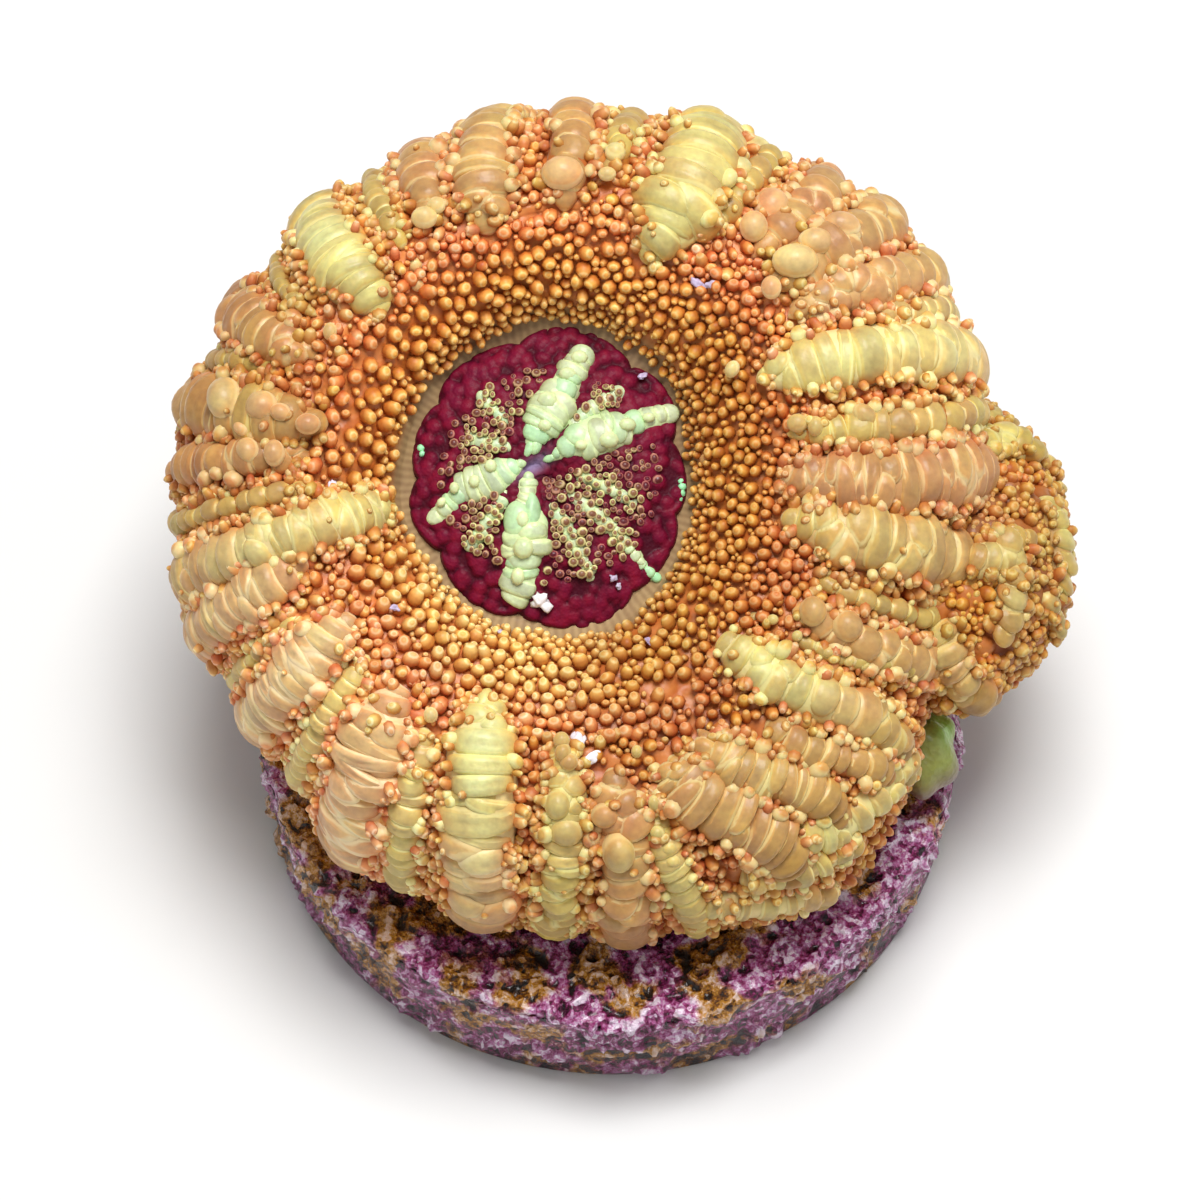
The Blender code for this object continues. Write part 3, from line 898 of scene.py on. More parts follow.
def pleated_row(shapes, way, width, height, pitch, rng, tint, softness=0.0, lean=(0.1, 0.1),
                taper=(0.85, 0.2, 0.8), glow=0.0, dusk=0.0, spread=0.3):
    """A row of pleats over a plain core. way gives the places and the outward directions at shares of it, 0 to 1.

    The pleats differ a little in width, height, length and direction by random amounts. In a soft row they are
    thinner, so that the creases between them are shallow, and on a wide row some are parted in two that overlap.
    Towards the far end they lean further over each other. tint and lean are given at the two ends. The pleats'
    places and sizes are given back."""
    length = np.linalg.norm(np.diff(way(np.linspace(0.0, 1.0, 60))[0], axis=0), axis=1).sum()
    along, step, twin, flip = pleat_marks(length, width, pitch, spread, rng)
    count = len(along)
    axes = row_axes(way, along, rng.normal(scale=ASKEW, size=count)[:, None])

    size = strip_share(along, taper)
    half_width = 0.5 * width * size * rng.uniform(0.86, 1.12, count)
    tall = height * size * rng.uniform(0.88, 1.12, count)
    half_length = PLEAT_OVERLAP * step * rng.uniform(0.95, 1.25, count)
    thinned = 0.4 * softness * smooth_step(along / 0.35)
    thick = np.minimum((0.75 - thinned) * half_length + 0.08, 0.75 * half_width)
    middle = rng.uniform(-0.2, 0.2, count) + PARTED_TURN * twin * flip
    span = rng.uniform(1.2, 1.6, count) * np.where(twin == 0, 1.0, 0.7)
    ahead = (lean[0] + (lean[1] - lean[0]) * rise(along, 0.25, 0.5)) * step
    bow = rng.uniform(-0.25, 0.35, count) + 0.6 * rise(along, 0.4, 0.4) * lean[1]
    tilt = (rng.uniform(0.0, 0.4, count) + 0.5 * rise(along, 0.2, 0.4) * lean[1]) * (1.0 - softness)
    tints = tint[0] + (tint[1] - tint[0]) * rise(along, 0.25, 0.35) + 0.08 * rng.normal(size=count)
    masks = {
        "line": rng.uniform(0.75, 1.0, count) * (1.0 - 0.6 * softness * tint[0]),
        "heart": rng.uniform(0.5, 1.0, count),
        "tint": np.clip(tints, 0.0, 1.0),
        # A painted highlight, strongest a third of the way along the row.
        "glow": glow * rng.uniform(0.3, 1.0, count) * bell((along - 0.3) / 0.35),
        # Painted shade, deepening towards the row's far, lower end.
        "dusk": np.clip(dusk + 1.3 * lean[1] * rise(along, 0.5, 0.45), 0.0, 1.0),
    }
    sizes = (half_width, tall, half_length, thick)
    add_pleats(shapes, axes, along * length, sizes, (middle, span), (ahead, bow, tilt), masks)
    add_core(shapes, way, round(2 * length / pitch), width, height, taper, softness, tint, dusk)
    names = ("centre", "across", "out", "forward", "half_width", "tall", "step", "tint")
    return dict(zip(names, (*axes, half_width, tall, step, masks["tint"])))


def perch(pleats, chosen, angle, ahead, sunk):
    """Places on the chosen pleats, at an angle about their row and a share of the pitch ahead, sunk by some length, and
    the directions out of the flesh there."""
    centre, across, out, forward, width, tall, step, _ = only(chosen, *pleats.values())
    axes = unit(across * (np.sin(angle) / width)[:, None] + out * (np.cos(angle) / tall)[:, None])
    at = centre + across * (width * np.sin(angle))[:, None] + out * (tall * np.cos(angle))[:, None]
    return at + forward * (ahead * step)[:, None] - axes * sunk[:, None], axes


def some(rng, pleats, share):
    """The numbers of a random share of a row's pleats."""
    return np.flatnonzero(rng.random(len(pleats["tall"])) < share)


def bulbs_on(pleats, shapes, rng, share, dusk):
    """Round bulbs at both ends of some of a row's pleats, in the row's own flesh."""
    for side in (-1.0, 1.0):
        chosen = some(rng, pleats, share)
        number = len(chosen)
        radii = rng.uniform(0.2, 0.46, number) * np.minimum(1.0, pleats["half_width"][chosen] / 1.3)
        angle = side * rng.uniform(0.75, 1.2, number)
        at, axes = perch(pleats, chosen, angle, rng.uniform(-0.3, 0.3, number), 0.35 * radii)
        masks = {"tint": pleats["tint"][chosen], "dusk": dusk, "blush": 0.35, "line": 0.9, "crown": 0.6,
                 "heart": rng.uniform(0.4, 1.0, number), "gap": edge_gap(0.6 * radii, BULB_ANGLES)}
        add_beads(shapes, above_plug(at, LEAST_CLEARANCE), axes, radii, rng.uniform(1.0, 1.3, number),
                  PLAIN_FLESH | masks, BULB_ANGLES, BULB_SIDES)


def vesicles_on(pleats, beads, rng, warmth, dusk):
    """Small vesicles at both ends of a row's pleats, larger ones round its start, and a few pale ones on its top."""

    def stand(chosen, angle, radii, stretch, warm, pale, sunk):
        """Vesicles on the chosen pleats, a little askew."""
        at, axes = perch(pleats, chosen, angle, rng.uniform(-0.5, 0.5, len(radii)), sunk * radii)
        axes = axes + 0.25 * rng.normal(size=axes.shape)
        masks = {"warm": np.clip(warm, 0, 1), "pale": np.clip(pale, 0, 1), "dusk": dusk}
        add_beads(beads, above_plug(at, LEAST_CLEARANCE), axes, radii, stretch, masks)

    for side in (-1.0, 1.0) * 3:
        chosen = some(rng, pleats, SIDE_VESICLES)
        n = len(chosen)
        stand(chosen, side * rng.uniform(0.8, 1.5, n), 0.14 + 0.18 * rng.random(n) ** 1.5, rng.uniform(1.1, 2.0, n),
              warmth + 0.25 * rng.normal(size=n), rng.uniform(0.3, 1.0, n), sunk=0.2)
    for _ in range(4):
        chosen = some(rng, pleats, START_VESICLES)
        chosen = chosen[chosen < 3]
        n = len(chosen)
        stand(chosen, rng.uniform(-1.3, 1.3, n), rng.uniform(0.18, 0.34, n), rng.uniform(0.9, 1.6, n),
              0.3 + 0.25 * rng.normal(size=n), rng.uniform(0.6, 1.0, n), sunk=0.4)
    chosen = some(rng, pleats, TOP_VESICLES)
    chosen = chosen[pleats["half_width"][chosen] > 0.6]
    n = len(chosen)
    stand(chosen, rng.uniform(-0.95, 0.95, n), rng.uniform(0.12, 0.22, n), rng.uniform(1.0, 1.7, n),
          warmth * rng.uniform(0.4, 1.0, n), rng.uniform(0.8, 1.0, n), sunk=0.3)


def lowest_section(around):
    """The lowest section at which the flesh still stands a little clear of the plug."""
    sections = np.arange(LOWEST_SECTION, 40.0, 1.0)
    clear = cushion(around, sections)[:, 2] > PLUG_TOP + 0.9
    return sections[np.argmax(clear)] if clear.any() else 0.0


def lobe_route(lobe):
    """The lobe's way over the cushion: a function of the share along it that gives places and outward directions.
    Both angles run evenly between its ends, and the direction turns mostly before the crest."""
    last = lowest_section(lobe.end) if lobe.end_section is None else lobe.end_section

    def way(share):
        """Places and directions at a share of the way."""
        around = lobe.around + turned(lobe.end - lobe.around) * smooth_step(share / 0.8)
        return flesh(around, lobe.section + (last - lobe.section) * share)

    return way


def lobe_height(width):
    """How high a lobe stands: the more, the wider it is."""
    return 0.42 + 0.3 * width


def lobe_taper(width):
    """A lobe's taper: the wider it is, the slimmer it starts."""
    return float(np.clip(1.15 - 0.15 * width, 0.55, 0.9)), 0.2, 0.8


def quarter(around):
    """The name of the side of the polyp that a direction lies on."""
    return SIDES[int(((around + 45.0) % 360.0) // 90.0)]


def make_lobes(material, bead_finish):
    """The cushion's lobes, in four pieces by the side they lie on, with their vesicles."""
    rng = np.random.default_rng(11)
    sides = {name: (Shapes(), Shapes()) for name in SIDES}
    for lobe in LOBES:
        # A painted highlight on soft yellow lobes, and painted shade by direction, lighter where the highlight is.
        glow = min(1.5 * lobe.softness, 1.0) * (0.3 + 0.7 * lobe.tint)
        dusk = float(np.clip(painted_shade_by_direction(lobe.end) + painted_shade_at_back(lobe.end), 0.0, 1.0)) * (1.0 - 0.5 * glow)
        shapes, vesicles = sides[quarter(lobe.end)]
        pleats = pleated_row(shapes, lobe_route(lobe), lobe.width, lobe_height(lobe.width), lobe.pitch, rng,
                             (lobe.tint, lobe.end_tint), lobe.softness, lean=(0.1, 0.45),
                             taper=lobe_taper(lobe.width), glow=glow, dusk=dusk)
        bulbs_on(pleats, shapes, rng, share=0.75 - 0.5 * lobe.softness, dusk=dusk)
        vesicles_on(pleats, vesicles, rng, warmth=0.8 - 0.4 * lobe.tint, dusk=dusk)
    for name, (shapes, vesicles) in sides.items():
        shapes.make(name + "_lobes", material, "orange_flesh")
        vesicles.make(name + "_vesicles", bead_finish, "orange_flesh")


# ---------------------------------------------------------------- beads

BEAD_ANGLES = np.radians([14.0, 38.0, 66.0, 96.0, 135.0])
BEAD_SIDES = 8
BLADDER_ANGLES = np.radians([10.0, 22.0, 34.0, 47.0, 60.0, 74.0, 90.0, 110.0, 140.0])
BLADDER_SIDES = 24
THINNING = 0.24  # where the noise falls below this the flesh lies bare
HOLLOW = (-88.0, 7.0, 84.0, 22.0)  # a bare hollow in front: around, its half width, section, its half width


def edge_gap(sizes, angles):
    """The gap mask of beads: their size times 1 less the sine of the angle from the tip."""
    return sizes[:, None, None] * (1.0 - np.sin(angles))[None, :, None]


def add_beads(shapes, centres, axes, radii, stretch, masks, angles=BEAD_ANGLES, sides=BEAD_SIDES):
    """Round beads: rings at fixed angles from the tip, the tip half stretched along the bead's own axis, and each a
    little oval by its own amount. A mask is one number, or numbers for each bead."""
    count = len(radii)
    if not count:
        return
    axes = unit(axes)
    helper = np.where(np.abs(axes[:, 2:3]) < 0.9, [[0.0, 0.0, 1.0]], [[1.0, 0.0, 0.0]])
    side = unit(np.cross(axes, helper))
    other = np.cross(axes, side)
    turn = turns(sides)
    squeeze = 1.0 + 0.13 * np.sin(40.0 * radii * centres[:, 0])
    side, other = side * squeeze[:, None], other / squeeze[:, None]
    ring = side[:, None, None] * np.cos(turn)[:, None] + other[:, None, None] * np.sin(turn)[:, None]
    upright = np.cos(angles) * np.where(angles < math.pi / 2, np.reshape(stretch, (-1, 1)), 1.0)
    points = (centres[:, None, None]
              + ring * (radii[:, None] * np.sin(angles))[..., None, None]
              + axes[:, None, None] * (radii[:, None] * upright)[..., None, None])
    low = centres + axes * (radii * stretch)[:, None]
    high = centres - axes * radii[:, None]
    spread = {name: np.reshape(values, (count, -1, 1)) if np.ndim(values) else values
              for name, values in masks.items()}
    spread["tip"] = np.cos(angles)[None, :, None]
    shapes.add(points, spread, low, high)


def spaced(points, radii, crowding):
    """Which of the points to keep, first come first kept, so that no two beads overlap by more than crowding allows.
    Each is only compared with those kept in its own cell of a grid and the cells around it."""
    homes = np.floor(points / (2.0 * radii.max())).astype(int)
    kept, grid = [], {}
    for i, (a, b, c) in enumerate(homes.tolist()):
        around = [j for x, y, z in np.ndindex(3, 3, 3) for j in grid.get((a + x - 1, b + y - 1, c + z - 1), ())]
        gaps = np.linalg.norm(points[around] - points[i], axis=1) if around else np.array([])
        if not (gaps < crowding * (radii[around] + radii[i])).any():
            grid.setdefault((a, b, c), []).append(i)
            kept.append(i)
    return np.array(kept)


def bead_spots(rng, tries, sections, sizes, crowding, lobe_gap):
    """Scattered places for beads between two sections of the cushion, clear of the lobes, the bladders and the plug,
    and thinned where the flesh lies bare. They are sparser on the left and by the right of the rim."""
    around = rng.uniform(-180.0, 180.0, tries)
    section = rng.uniform(*sections, tries)
    reach = RING_RADIUS + SECTION_HALF_WIDTH * np.cos(np.radians(section))
    around, section = only(rng.random(tries) < reach / reach.max(), around, section)
    points, normals = flesh(around, section)
    radii = sizes[0] + (sizes[1] - sizes[0]) * rng.random(len(around)) ** 1.4
    clear = points[:, 2] > PLUG_TOP + 0.45
    share = np.linspace(0.0, 1.0, 40)
    for lobe in LOBES:
        half_width = 0.5 * lobe.width * lobe_gap * strip_share(share, lobe_taper(lobe.width))
        clear &= distance_to(points, lobe_route(lobe)(share)[0], half_width) > 0
    for bladder_around, bladder_section, radius, _, _ in BLADDERS:
        middle = flesh(bladder_around, bladder_section)[0]
        clear &= np.linalg.norm(points - middle, axis=1) > 0.8 * radius
    around, section, points, normals, radii = only(clear, around, section, points, normals, radii)
    radii *= 1.0 - 0.3 * rise(section, 128.0, 18.0)
    radii *= 1.0 - 0.17 * near(around, 0.0, 80.0) * rise(section, 92.0, 12.0)
    order = np.argsort(-radii * rng.uniform(0.5, 1.0, len(radii)))
    sparse_right = 0.2 * near(around, 0.0, 80.0) * rise(section, 118.0, 15.0)
    room = radii * (1.0 + 0.22 * near(around, 165.0, 50.0) + sparse_right)
    kept = order[spaced(points[order], room[order], crowding)]
    bare = lumps(points[kept], 1.7, salt=15) + 0.25 * rng.random(len(kept))
    hollow = near(around[kept], *HOLLOW[:2]) * bell((section[kept] - HOLLOW[2]) / HOLLOW[3])
    kept = kept[(bare > THINNING) & (hollow < 0.6)]
    return only(kept, around, section, points, normals, radii)


def mouth_edge(around):
    """The section up to which beads crowd towards the mouth: less far on the left and at the lower right."""
    return 151.0 - 8.0 * near(around, 175.0, 35.0) - 5.0 * near(around, -55.0, 30.0)


def make_slope_beads(material):
    """Gold beads, crowded over the slope inside the lobes, turning orange towards them."""
    rng = np.random.default_rng(5)
    spots = bead_spots(rng, tries=30000, sections=(97.0, 151.5), sizes=(0.14, 0.38), crowding=0.82, lobe_gap=0.9)
    around, section, points, normals, radii = only(spots[1] < mouth_edge(spots[0]), *spots)
    count = len(points)
    warm = 0.2 * lumps(points, 3.0, salt=7) + 0.2 * rng.random(count) + 0.6 * smooth_step((118 - section) / 18)
    light = 0.9 * near(around, -110.0, 55.0) + 0.1
    pale = 0.35 * rise(section, 128, 12) * rng.random(count) + light * rng.uniform(0.2, 1.0, count)
    axes = normals + 0.28 * rng.normal(size=(count, 3))
    beads = Shapes()
    # The beads carry painted shade by their direction.
    add_beads(beads, points + normals * (radii * 0.6)[:, None], axes, radii, rng.uniform(1.0, 1.6, count),
              {"warm": np.clip(warm, 0, 1), "pale": np.clip(pale, 0, 1), "dusk": painted_shade_by_direction(around - 30.0, section)})
    beads.make("slope_beads", material, "orange_flesh")


def make_valley_beads(material):
    """Orange and salmon beads of mixed sizes in the valleys between the lobes, some of them pale and larger, in four
    pieces by the side they lie on."""
    rng = np.random.default_rng(6)
    spots = bead_spots(rng, tries=70000, sections=(-58.0, 99.0), sizes=(0.12, 0.32), crowding=0.76, lobe_gap=0.85)
    around, section, points, normals, radii = spots
    count = len(points)
    warm = 0.6 + 0.6 * (lumps(points, 3.0, salt=7) - 0.5) + 0.25 * rng.normal(size=count)
    pale = np.where(rng.random(count) < 0.2, rng.uniform(0.5, 1.0, count), rng.uniform(0.0, 0.4, count))
    axes = normals + 0.3 * rng.normal(size=(count, 3))
    stretch = rng.uniform(1.1, 2.1, count)
    centres = points + normals * (radii * 0.7)[:, None]
    # Painted shade by direction.
    masks = {"warm": np.clip(warm, 0, 1), "pale": pale, "dusk": painted_shade_by_direction(around, section)}
    sides = np.array([quarter(direction) for direction in around])
    for name in SIDES:
        here = sides == name
        beads = Shapes()
        add_beads(beads, *only(here, centres, axes, radii, stretch), dict(zip(masks, only(here, *masks.values()))))
        beads.make(name + "_beads", material, "orange_flesh")


# Bladders, the larger smooth bubbles: (around, section, radius, warmth, paleness).
BLADDERS = (
    (56, 60, 0.95, 0.7, 0.4), (55, 74, 0.75, 0.6, 0.6), (45, 76, 1.0, 0.2, 0.8), (46, 65, 0.8, 0.3, 0.7),
    (46, 52, 0.85, 0.3, 0.6), (43, 89, 0.55, 0.6, 0.4), (65, 20, 0.85, 0.0, 1.0), (64, 51, 0.6, 0.0, 1.0),
    (63, 73, 0.55, 0.0, 0.9), (64, 62, 0.5, 0.0, 1.0), (61, 81, 0.4, 0.2, 0.9), (91, 78, 0.95, 0.4, 0.5),
    (83, 77, 0.4, 0.2, 0.9), (83, 65, 0.5, 0.0, 1.0), (-92, 73, 0.72, 0.0, 0.9), (-91, 64, 0.8, 0.0, 0.8),
    (-84, 70, 0.66, 0.4, 0.4), (-83, 57, 0.95, 0.1, 0.7), (-90, 95, 0.42, 0.2, 0.9), (-90, 91, 0.45, 0.2, 1.0),
    (-89, 88, 0.45, 0.3, 0.9), (-86, 112, 0.38, 0.5, 0.3), (-75, 91, 0.3, 0.1, 1.0), (-75, 73, 0.36, 0.0, 1.0),
    (-76, 63, 0.36, 0.0, 1.0), (-75, 57, 0.36, 0.0, 1.0), (-75, 52, 0.36, 0.0, 1.0), (-119, 91, 0.38, 0.3, 0.9),
    (-121, 80, 0.4, 0.2, 0.9), (-99, 46, 0.36, 0.1, 0.9), (168, 91, 0.58, 0.5, 0.5), (166, 79, 0.5, 0.5, 0.5),
    (165, 70, 0.8, 0.5, 0.5), (164, 51, 1.05, 0.2, 0.6), (174, 79, 0.6, 0.5, 0.4), (173, 67, 0.65, 0.5, 0.4),
    (169, 63, 0.4, 0.6, 0.4), (-28, 83, 0.72, 0.3, 0.4), (-27, 70, 0.8, 0.3, 0.4), (-34, 85, 0.28, 0.1, 1.0),
    (-33, 73, 0.3, 0.1, 1.0), (-32, 65, 0.28, 0.1, 1.0), (-31, 59, 0.28, 0.1, 1.0), (-34, 95, 0.28, 0.1, 1.0),
    (-36, 102, 0.3, 0.2, 0.9), (13, 96, 0.5, 0.1, 0.8), (12, 90, 0.45, 0.1, 0.8), (14, 73, 0.6, 0.1, 0.6),
    (6, 141, 0.3, 0.3, 0.4), (118, 77, 0.6, 0.2, 0.7), (124, 92, 0.4, 0.2, 0.8), (115, 75, 0.45, 0.2, 0.7),
    (147, 85, 0.4, 0.2, 0.8), (126, 102, 0.35, 0.3, 0.7), (30, 115, 0.4, 0.2, 0.8),
)


def make_bladders(material):
    """The bladders, each an oval standing half out of the lobe or valley that it grows on."""
    rng = np.random.default_rng(17)
    around, section, radii, warm, pale = np.array(BLADDERS, float).T
    points, normals = flesh(around, section)
    raised = np.zeros(len(radii))
    for lobe in LOBES:
        away = distance_to(points, lobe_route(lobe)(np.linspace(0.0, 1.0, 60))[0])
        raised = np.maximum(raised, lobe_height(lobe.width) * dome(away / (0.5 * lobe.width), 1.0))
    centres = points + normals * (0.9 * raised - 0.3 * radii)[:, None]
    axes = normals + 0.12 * rng.normal(size=normals.shape)
    bladders = Shapes()
    # The paler bladders get a painted highlight, and all get painted shade by their direction.
    masks = {"tint": 0.75 * pale * (1.0 - warm), "glow": 0.35 * pale, "dusk": painted_shade_by_direction(around), "blush": warm * 0.5,
             "line": 0.7, "heart": 0.8, "crown": 1.0, "gap": edge_gap(radii, BLADDER_ANGLES)}
    add_beads(bladders, centres, axes, 0.88 * radii, rng.uniform(0.95, 1.15, len(radii)), masks, BLADDER_ANGLES,
              BLADDER_SIDES)
    bladders.make("bladders", material, "orange_flesh")


# ---------------------------------------------------------------- mantle and mouth

MANTLE_SIDES = 460
FOOT_RADIUS = 10.0
FOOT_CENTRE = (-1.0, 3.2, 0.0)
WAIST_SHARE = 0.7
NECK_RINGS = 24
NECK_FOLD_SIZE = 1.5
OVER_RINGS = 130
UNDER_DISC = (0.775, 0.55, 0.325, 0.1)  # the rings under the mouth disc, as shares of the rim's
PIMPLE_SPACING, PIMPLE_RADIUS = 0.75, 0.62  # in millimetres, and in cells


def mantle_rings():
    """Rings from the foot up the neck, over the cushion and in under the mouth disc, with their around and section. The
    neck is parted into upright folds, long cells with creases between them, and how high they stand is given too."""
    around = np.arange(MANTLE_SIDES) * 360.0 / MANTLE_SIDES
    turn = np.radians(around)
    foot = revolve(FOOT_RADIUS, PLUG_TOP + 0.02, turn) + FOOT_CENTRE
    under = above_plug(cushion(around, UNDER_SECTION, FLESH_INSET), 0.05)
    waist = foot.copy()
    waist[:, 2] += WAIST_SHARE * (under[:, 2] - foot[:, 2])
    t = np.linspace(0.0, 1.0, NECK_RINGS, endpoint=False)[:, None, None]
    neck = (1 - t) ** 2 * foot + 2 * t * (1 - t) * waist + t**2 * under
    bent = neck * [1.0, 1.0, 0.3] + 0.8 * lumps(neck, 1.6, salt=8)[..., None]
    nearest, second = cells(bent, NECK_FOLD_SIZE, salt=5)
    folds = smooth_step((second - nearest) / 0.5) * (0.7 + 0.3 * lumps(neck, 0.5, salt=9))
    neck = neck - (0.45 * (1.0 - t**2) * (1.0 - folds[..., None])) * revolve(1.0, 0.0, turn)
    section = np.linspace(UNDER_SECTION, RIM_SECTION, OVER_RINGS)
    over = above_plug(cushion(around[None, :], section[:, None], FLESH_INSET), 0.05)
    sunk = over[-1].mean(axis=0) - 0.9 * POLYP_AXIS
    disc = sunk + (over[-1] - sunk) * np.array(UNDER_DISC)[:, None, None]
    sections = [np.full(NECK_RINGS, UNDER_SECTION - 20.0), section, np.full(len(UNDER_DISC), RIM_SECTION + 10.0)]
    return np.concatenate([neck, over, disc]), around, np.concatenate(sections), folds


def make_mantle(material):
    """The polyp's flesh, lifted by small round pimples, each a dome over its own cell."""
    rings, around, section, folds = mantle_rings()
    where = rise(section, -60.0, 15.0) * (1.0 - rise(section, 138.0, 8.0))
    pimples = dome(cells(rings, PIMPLE_SPACING, salt=3)[0], PIMPLE_RADIUS) * where[:, None]
    along = np.roll(rings, -1, axis=1) - np.roll(rings, 1, axis=1)
    out = unit(np.cross(along, np.gradient(rings, axis=0)))
    inwards = np.sum(out * (rings - rings.mean(axis=1, keepdims=True)), axis=-1, keepdims=True) < -0.6
    rings = rings + 0.15 * pimples[..., None] * np.where(inwards, -out, out)
    lip = rise(section, 139.0, 10.0)[:, None]
    pimples[:NECK_RINGS] = folds
    masks = {"knob": pimples, "lip": lip, "under": 1.0 - rise(section, -66.0, 20.0)[:, None],
             # Painted shade by direction, none on the lip.
             "dusk": painted_shade_by_direction(around[None, :] - 15.0, section[:, None]) * (1.0 - lip)}
    make_grids(above_plug(rings, 0.02)[None], masks, "mantle", material, "orange_flesh", "main_polyp")


DISC_DOME = 0.9
DISC_REACH = 6.0
DISC_SIDES, DISC_RINGS = 400, 96
MOUTH = (-0.75, 0.45)  # the slit's middle on the disc
BUBBLE_HEIGHT = 0.18


def disc_radius(direction):
    """The mouth disc's edge: the rim's own outline with a row of rounded scallops."""
    turn = np.radians(direction)
    reach = np.linalg.norm(cushion(direction, RIM_SECTION, FLESH_INSET) - DISC_ANCHOR, axis=-1)
    scallop = np.abs(np.sin(4.5 * (turn - 0.35) + 0.5 * np.sin(2 * turn))) ** 0.6
    return reach * (0.92 + 0.08 * scallop)


def disc_point(x, y):
    """A point of the mouth disc, x across and y up the slope from its middle: a low dome with a dimple in it."""
    reach = np.hypot(x, y) / DISC_REACH
    height = DISC_DOME * (1.0 - reach**2) - 0.55 * bell(reach / 0.16)
    return DISC_ANCHOR + x[..., None] * LEANING[0] + y[..., None] * LEANING[1] + height[..., None] * POLYP_AXIS


def disc_normal(x, y, step=0.05):
    """The direction out of the disc at a point, from the differences to its neighbours."""
    right = disc_point(x + step, y) - disc_point(x - step, y)
    up = disc_point(x, y + step) - disc_point(x, y - step)
    return unit(np.cross(right, up))


def make_disc(material):
    """The mouth disc: a polar grid from its edge to its middle, covered with bubbles that grow towards the edge, each a
    dome over its own cell. Its edge bends down, and an outer ring lies lower, under the flesh."""
    direction = np.arange(DISC_SIDES) * 360.0 / DISC_SIDES
    share = np.linspace(1.0, 0.01, DISC_RINGS)[:, None]
    reach = disc_radius(direction)[None, :] * share
    turn = np.radians(direction)[None, :]
    x, y = reach * np.cos(turn), reach * np.sin(turn)
    base, out = disc_point(x, y), disc_normal(x, y)
    flat = np.stack([x, y, np.zeros_like(x)], axis=-1)
    outer = rise(reach, 2.6, 1.6)
    bubbles = outer * dome(cells(flat, 0.5, salt=21)[0], 0.72) * BUBBLE_HEIGHT
    bubbles += (1 - outer) * dome(cells(flat, 0.34, salt=33)[0], 0.7) * 0.12
    edge = rise(share, 0.93, 0.07)
    right, up = x - MOUTH[0], y - MOUTH[1]
    slit = bell((right * 0.8 + up * 0.6) / 0.75) * bell((up * 0.8 - right * 0.6) / 0.28)
    points = base + out * (bubbles * (1 - edge) + 0.12 * (1 - edge) - 0.25 * edge - 0.3 * slit)[..., None]
    masks = {"knob": bubbles / BUBBLE_HEIGHT * (1 - edge), "slit": slit}
    masks = {name: np.concatenate([np.zeros((1, DISC_SIDES)), values]) for name, values in masks.items()}
    points = np.concatenate([(base[0] - 1.2 * POLYP_AXIS)[None], points])
    make_grids(points[None], masks, "mouth_disc", material, "mouth_disc")


# The cream ribs of the mouth disc: inner x and y, outer x and y, width, height, pleat length, softness, taper.
Rib = namedtuple("Rib", "x y end_x end_y width height pitch softness taper")
RIBS = [Rib(*row) for row in (
    (-0.9, 0.95, 0.75, 3.9, 2.6, 0.77, 0.51, 0.8, (0.3, 0.6, 0.7)),
    (0.45, 3.4, 1.55, 5.5, 1.69, 0.68, 0.48, 0.7, (0.9, 0.1, 0.85)),
    (-0.2, 0.7, 3.5, 2.2, 2.34, 0.72, 0.51, 0.8, (0.25, 0.6, 0.8)),
    (3.0, 2.05, 5.4, 2.85, 1.43, 0.55, 0.42, 0.7, (0.95, 0.1, 0.8)),
    (-1.1, 0.65, -3.9, -0.55, 1.89, 0.55, 0.47, 0.7, (0.3, 0.4, 0.85)),
    (-3.6, -0.45, -5.35, -2.0, 1.3, 0.44, 0.38, 0.7, (0.95, 0.1, 0.4)),
    (-0.95, 0.1, -1.15, -1.5, 1.12, 0.44, 0.34, 0.7, (0.5, 0.3, 1.0)),
    (-1.1, -1.2, -1.15, -3.9, 2.47, 0.66, 0.77, 0.7, (0.6, 0.3, 0.85)),
    (-1.2, -3.6, -1.55, -5.4, 2.08, 0.55, 0.51, 0.7, (0.95, 0.1, 0.75)),
    (0.75, -0.75, 4.0, -3.8, 0.95, 0.4, 0.42, 0.7, (0.6, 0.2, 0.9)),
    (0.9, 0.15, 3.9, -1.4, 0.91, 0.33, 0.38, 0.7, (0.6, 0.2, 0.7)),
    (0.0, -1.3, 1.8, -4.5, 0.98, 0.35, 0.38, 0.7, (0.6, 0.2, 0.9)),
    (-1.9, -0.7, -3.5, -3.1, 0.98, 0.35, 0.38, 0.7, (0.6, 0.2, 0.9)),
    (-1.7, 1.25, -3.7, 1.75, 0.98, 0.35, 0.38, 0.7, (0.7, 0.2, 0.8)),
    (-1.9, 2.4, -3.0, 3.6, 0.84, 0.33, 0.38, 0.7, (0.7, 0.2, 0.9)),
    (0.9, 2.1, 3.1, 3.75, 1.12, 0.35, 0.38, 0.7, (0.7, 0.2, 0.8)),
)]
WIDE_RIB = 1.25
# Bubbles standing on the ribs, and mint ones at the disc's edge: (x, y, radius, mint).
RIB_BUBBLES = (
    (-0.1, 3.15, 0.46, 0), (-0.2, 2.1, 0.3, 0), (0.75, 4.35, 0.36, 0), (1.25, 5.1, 0.36, 0),
    (2.5, 1.45, 0.42, 0), (3.3, 2.15, 0.36, 0), (1.35, 1.25, 0.26, 0), (4.2, 2.5, 0.26, 0),
    (-1.15, -1.95, 0.34, 0), (-1.1, -3.15, 0.5, 0), (-0.65, -2.25, 0.22, 0), (-1.35, -4.35, 0.36, 0),
    (-2.5, 0.35, 0.3, 0), (-3.2, -0.3, 0.28, 0), (-4.05, -0.55, 0.25, 0), (-4.6, -1.15, 0.22, 0),
    (5.7, -0.15, 0.16, 1), (5.74, -0.4, 0.2, 1), (5.72, -0.68, 0.18, 1), (5.66, -0.92, 0.14, 1),
    (-5.6, 1.3, 0.18, 1), (-5.55, 1.05, 0.14, 1),
)


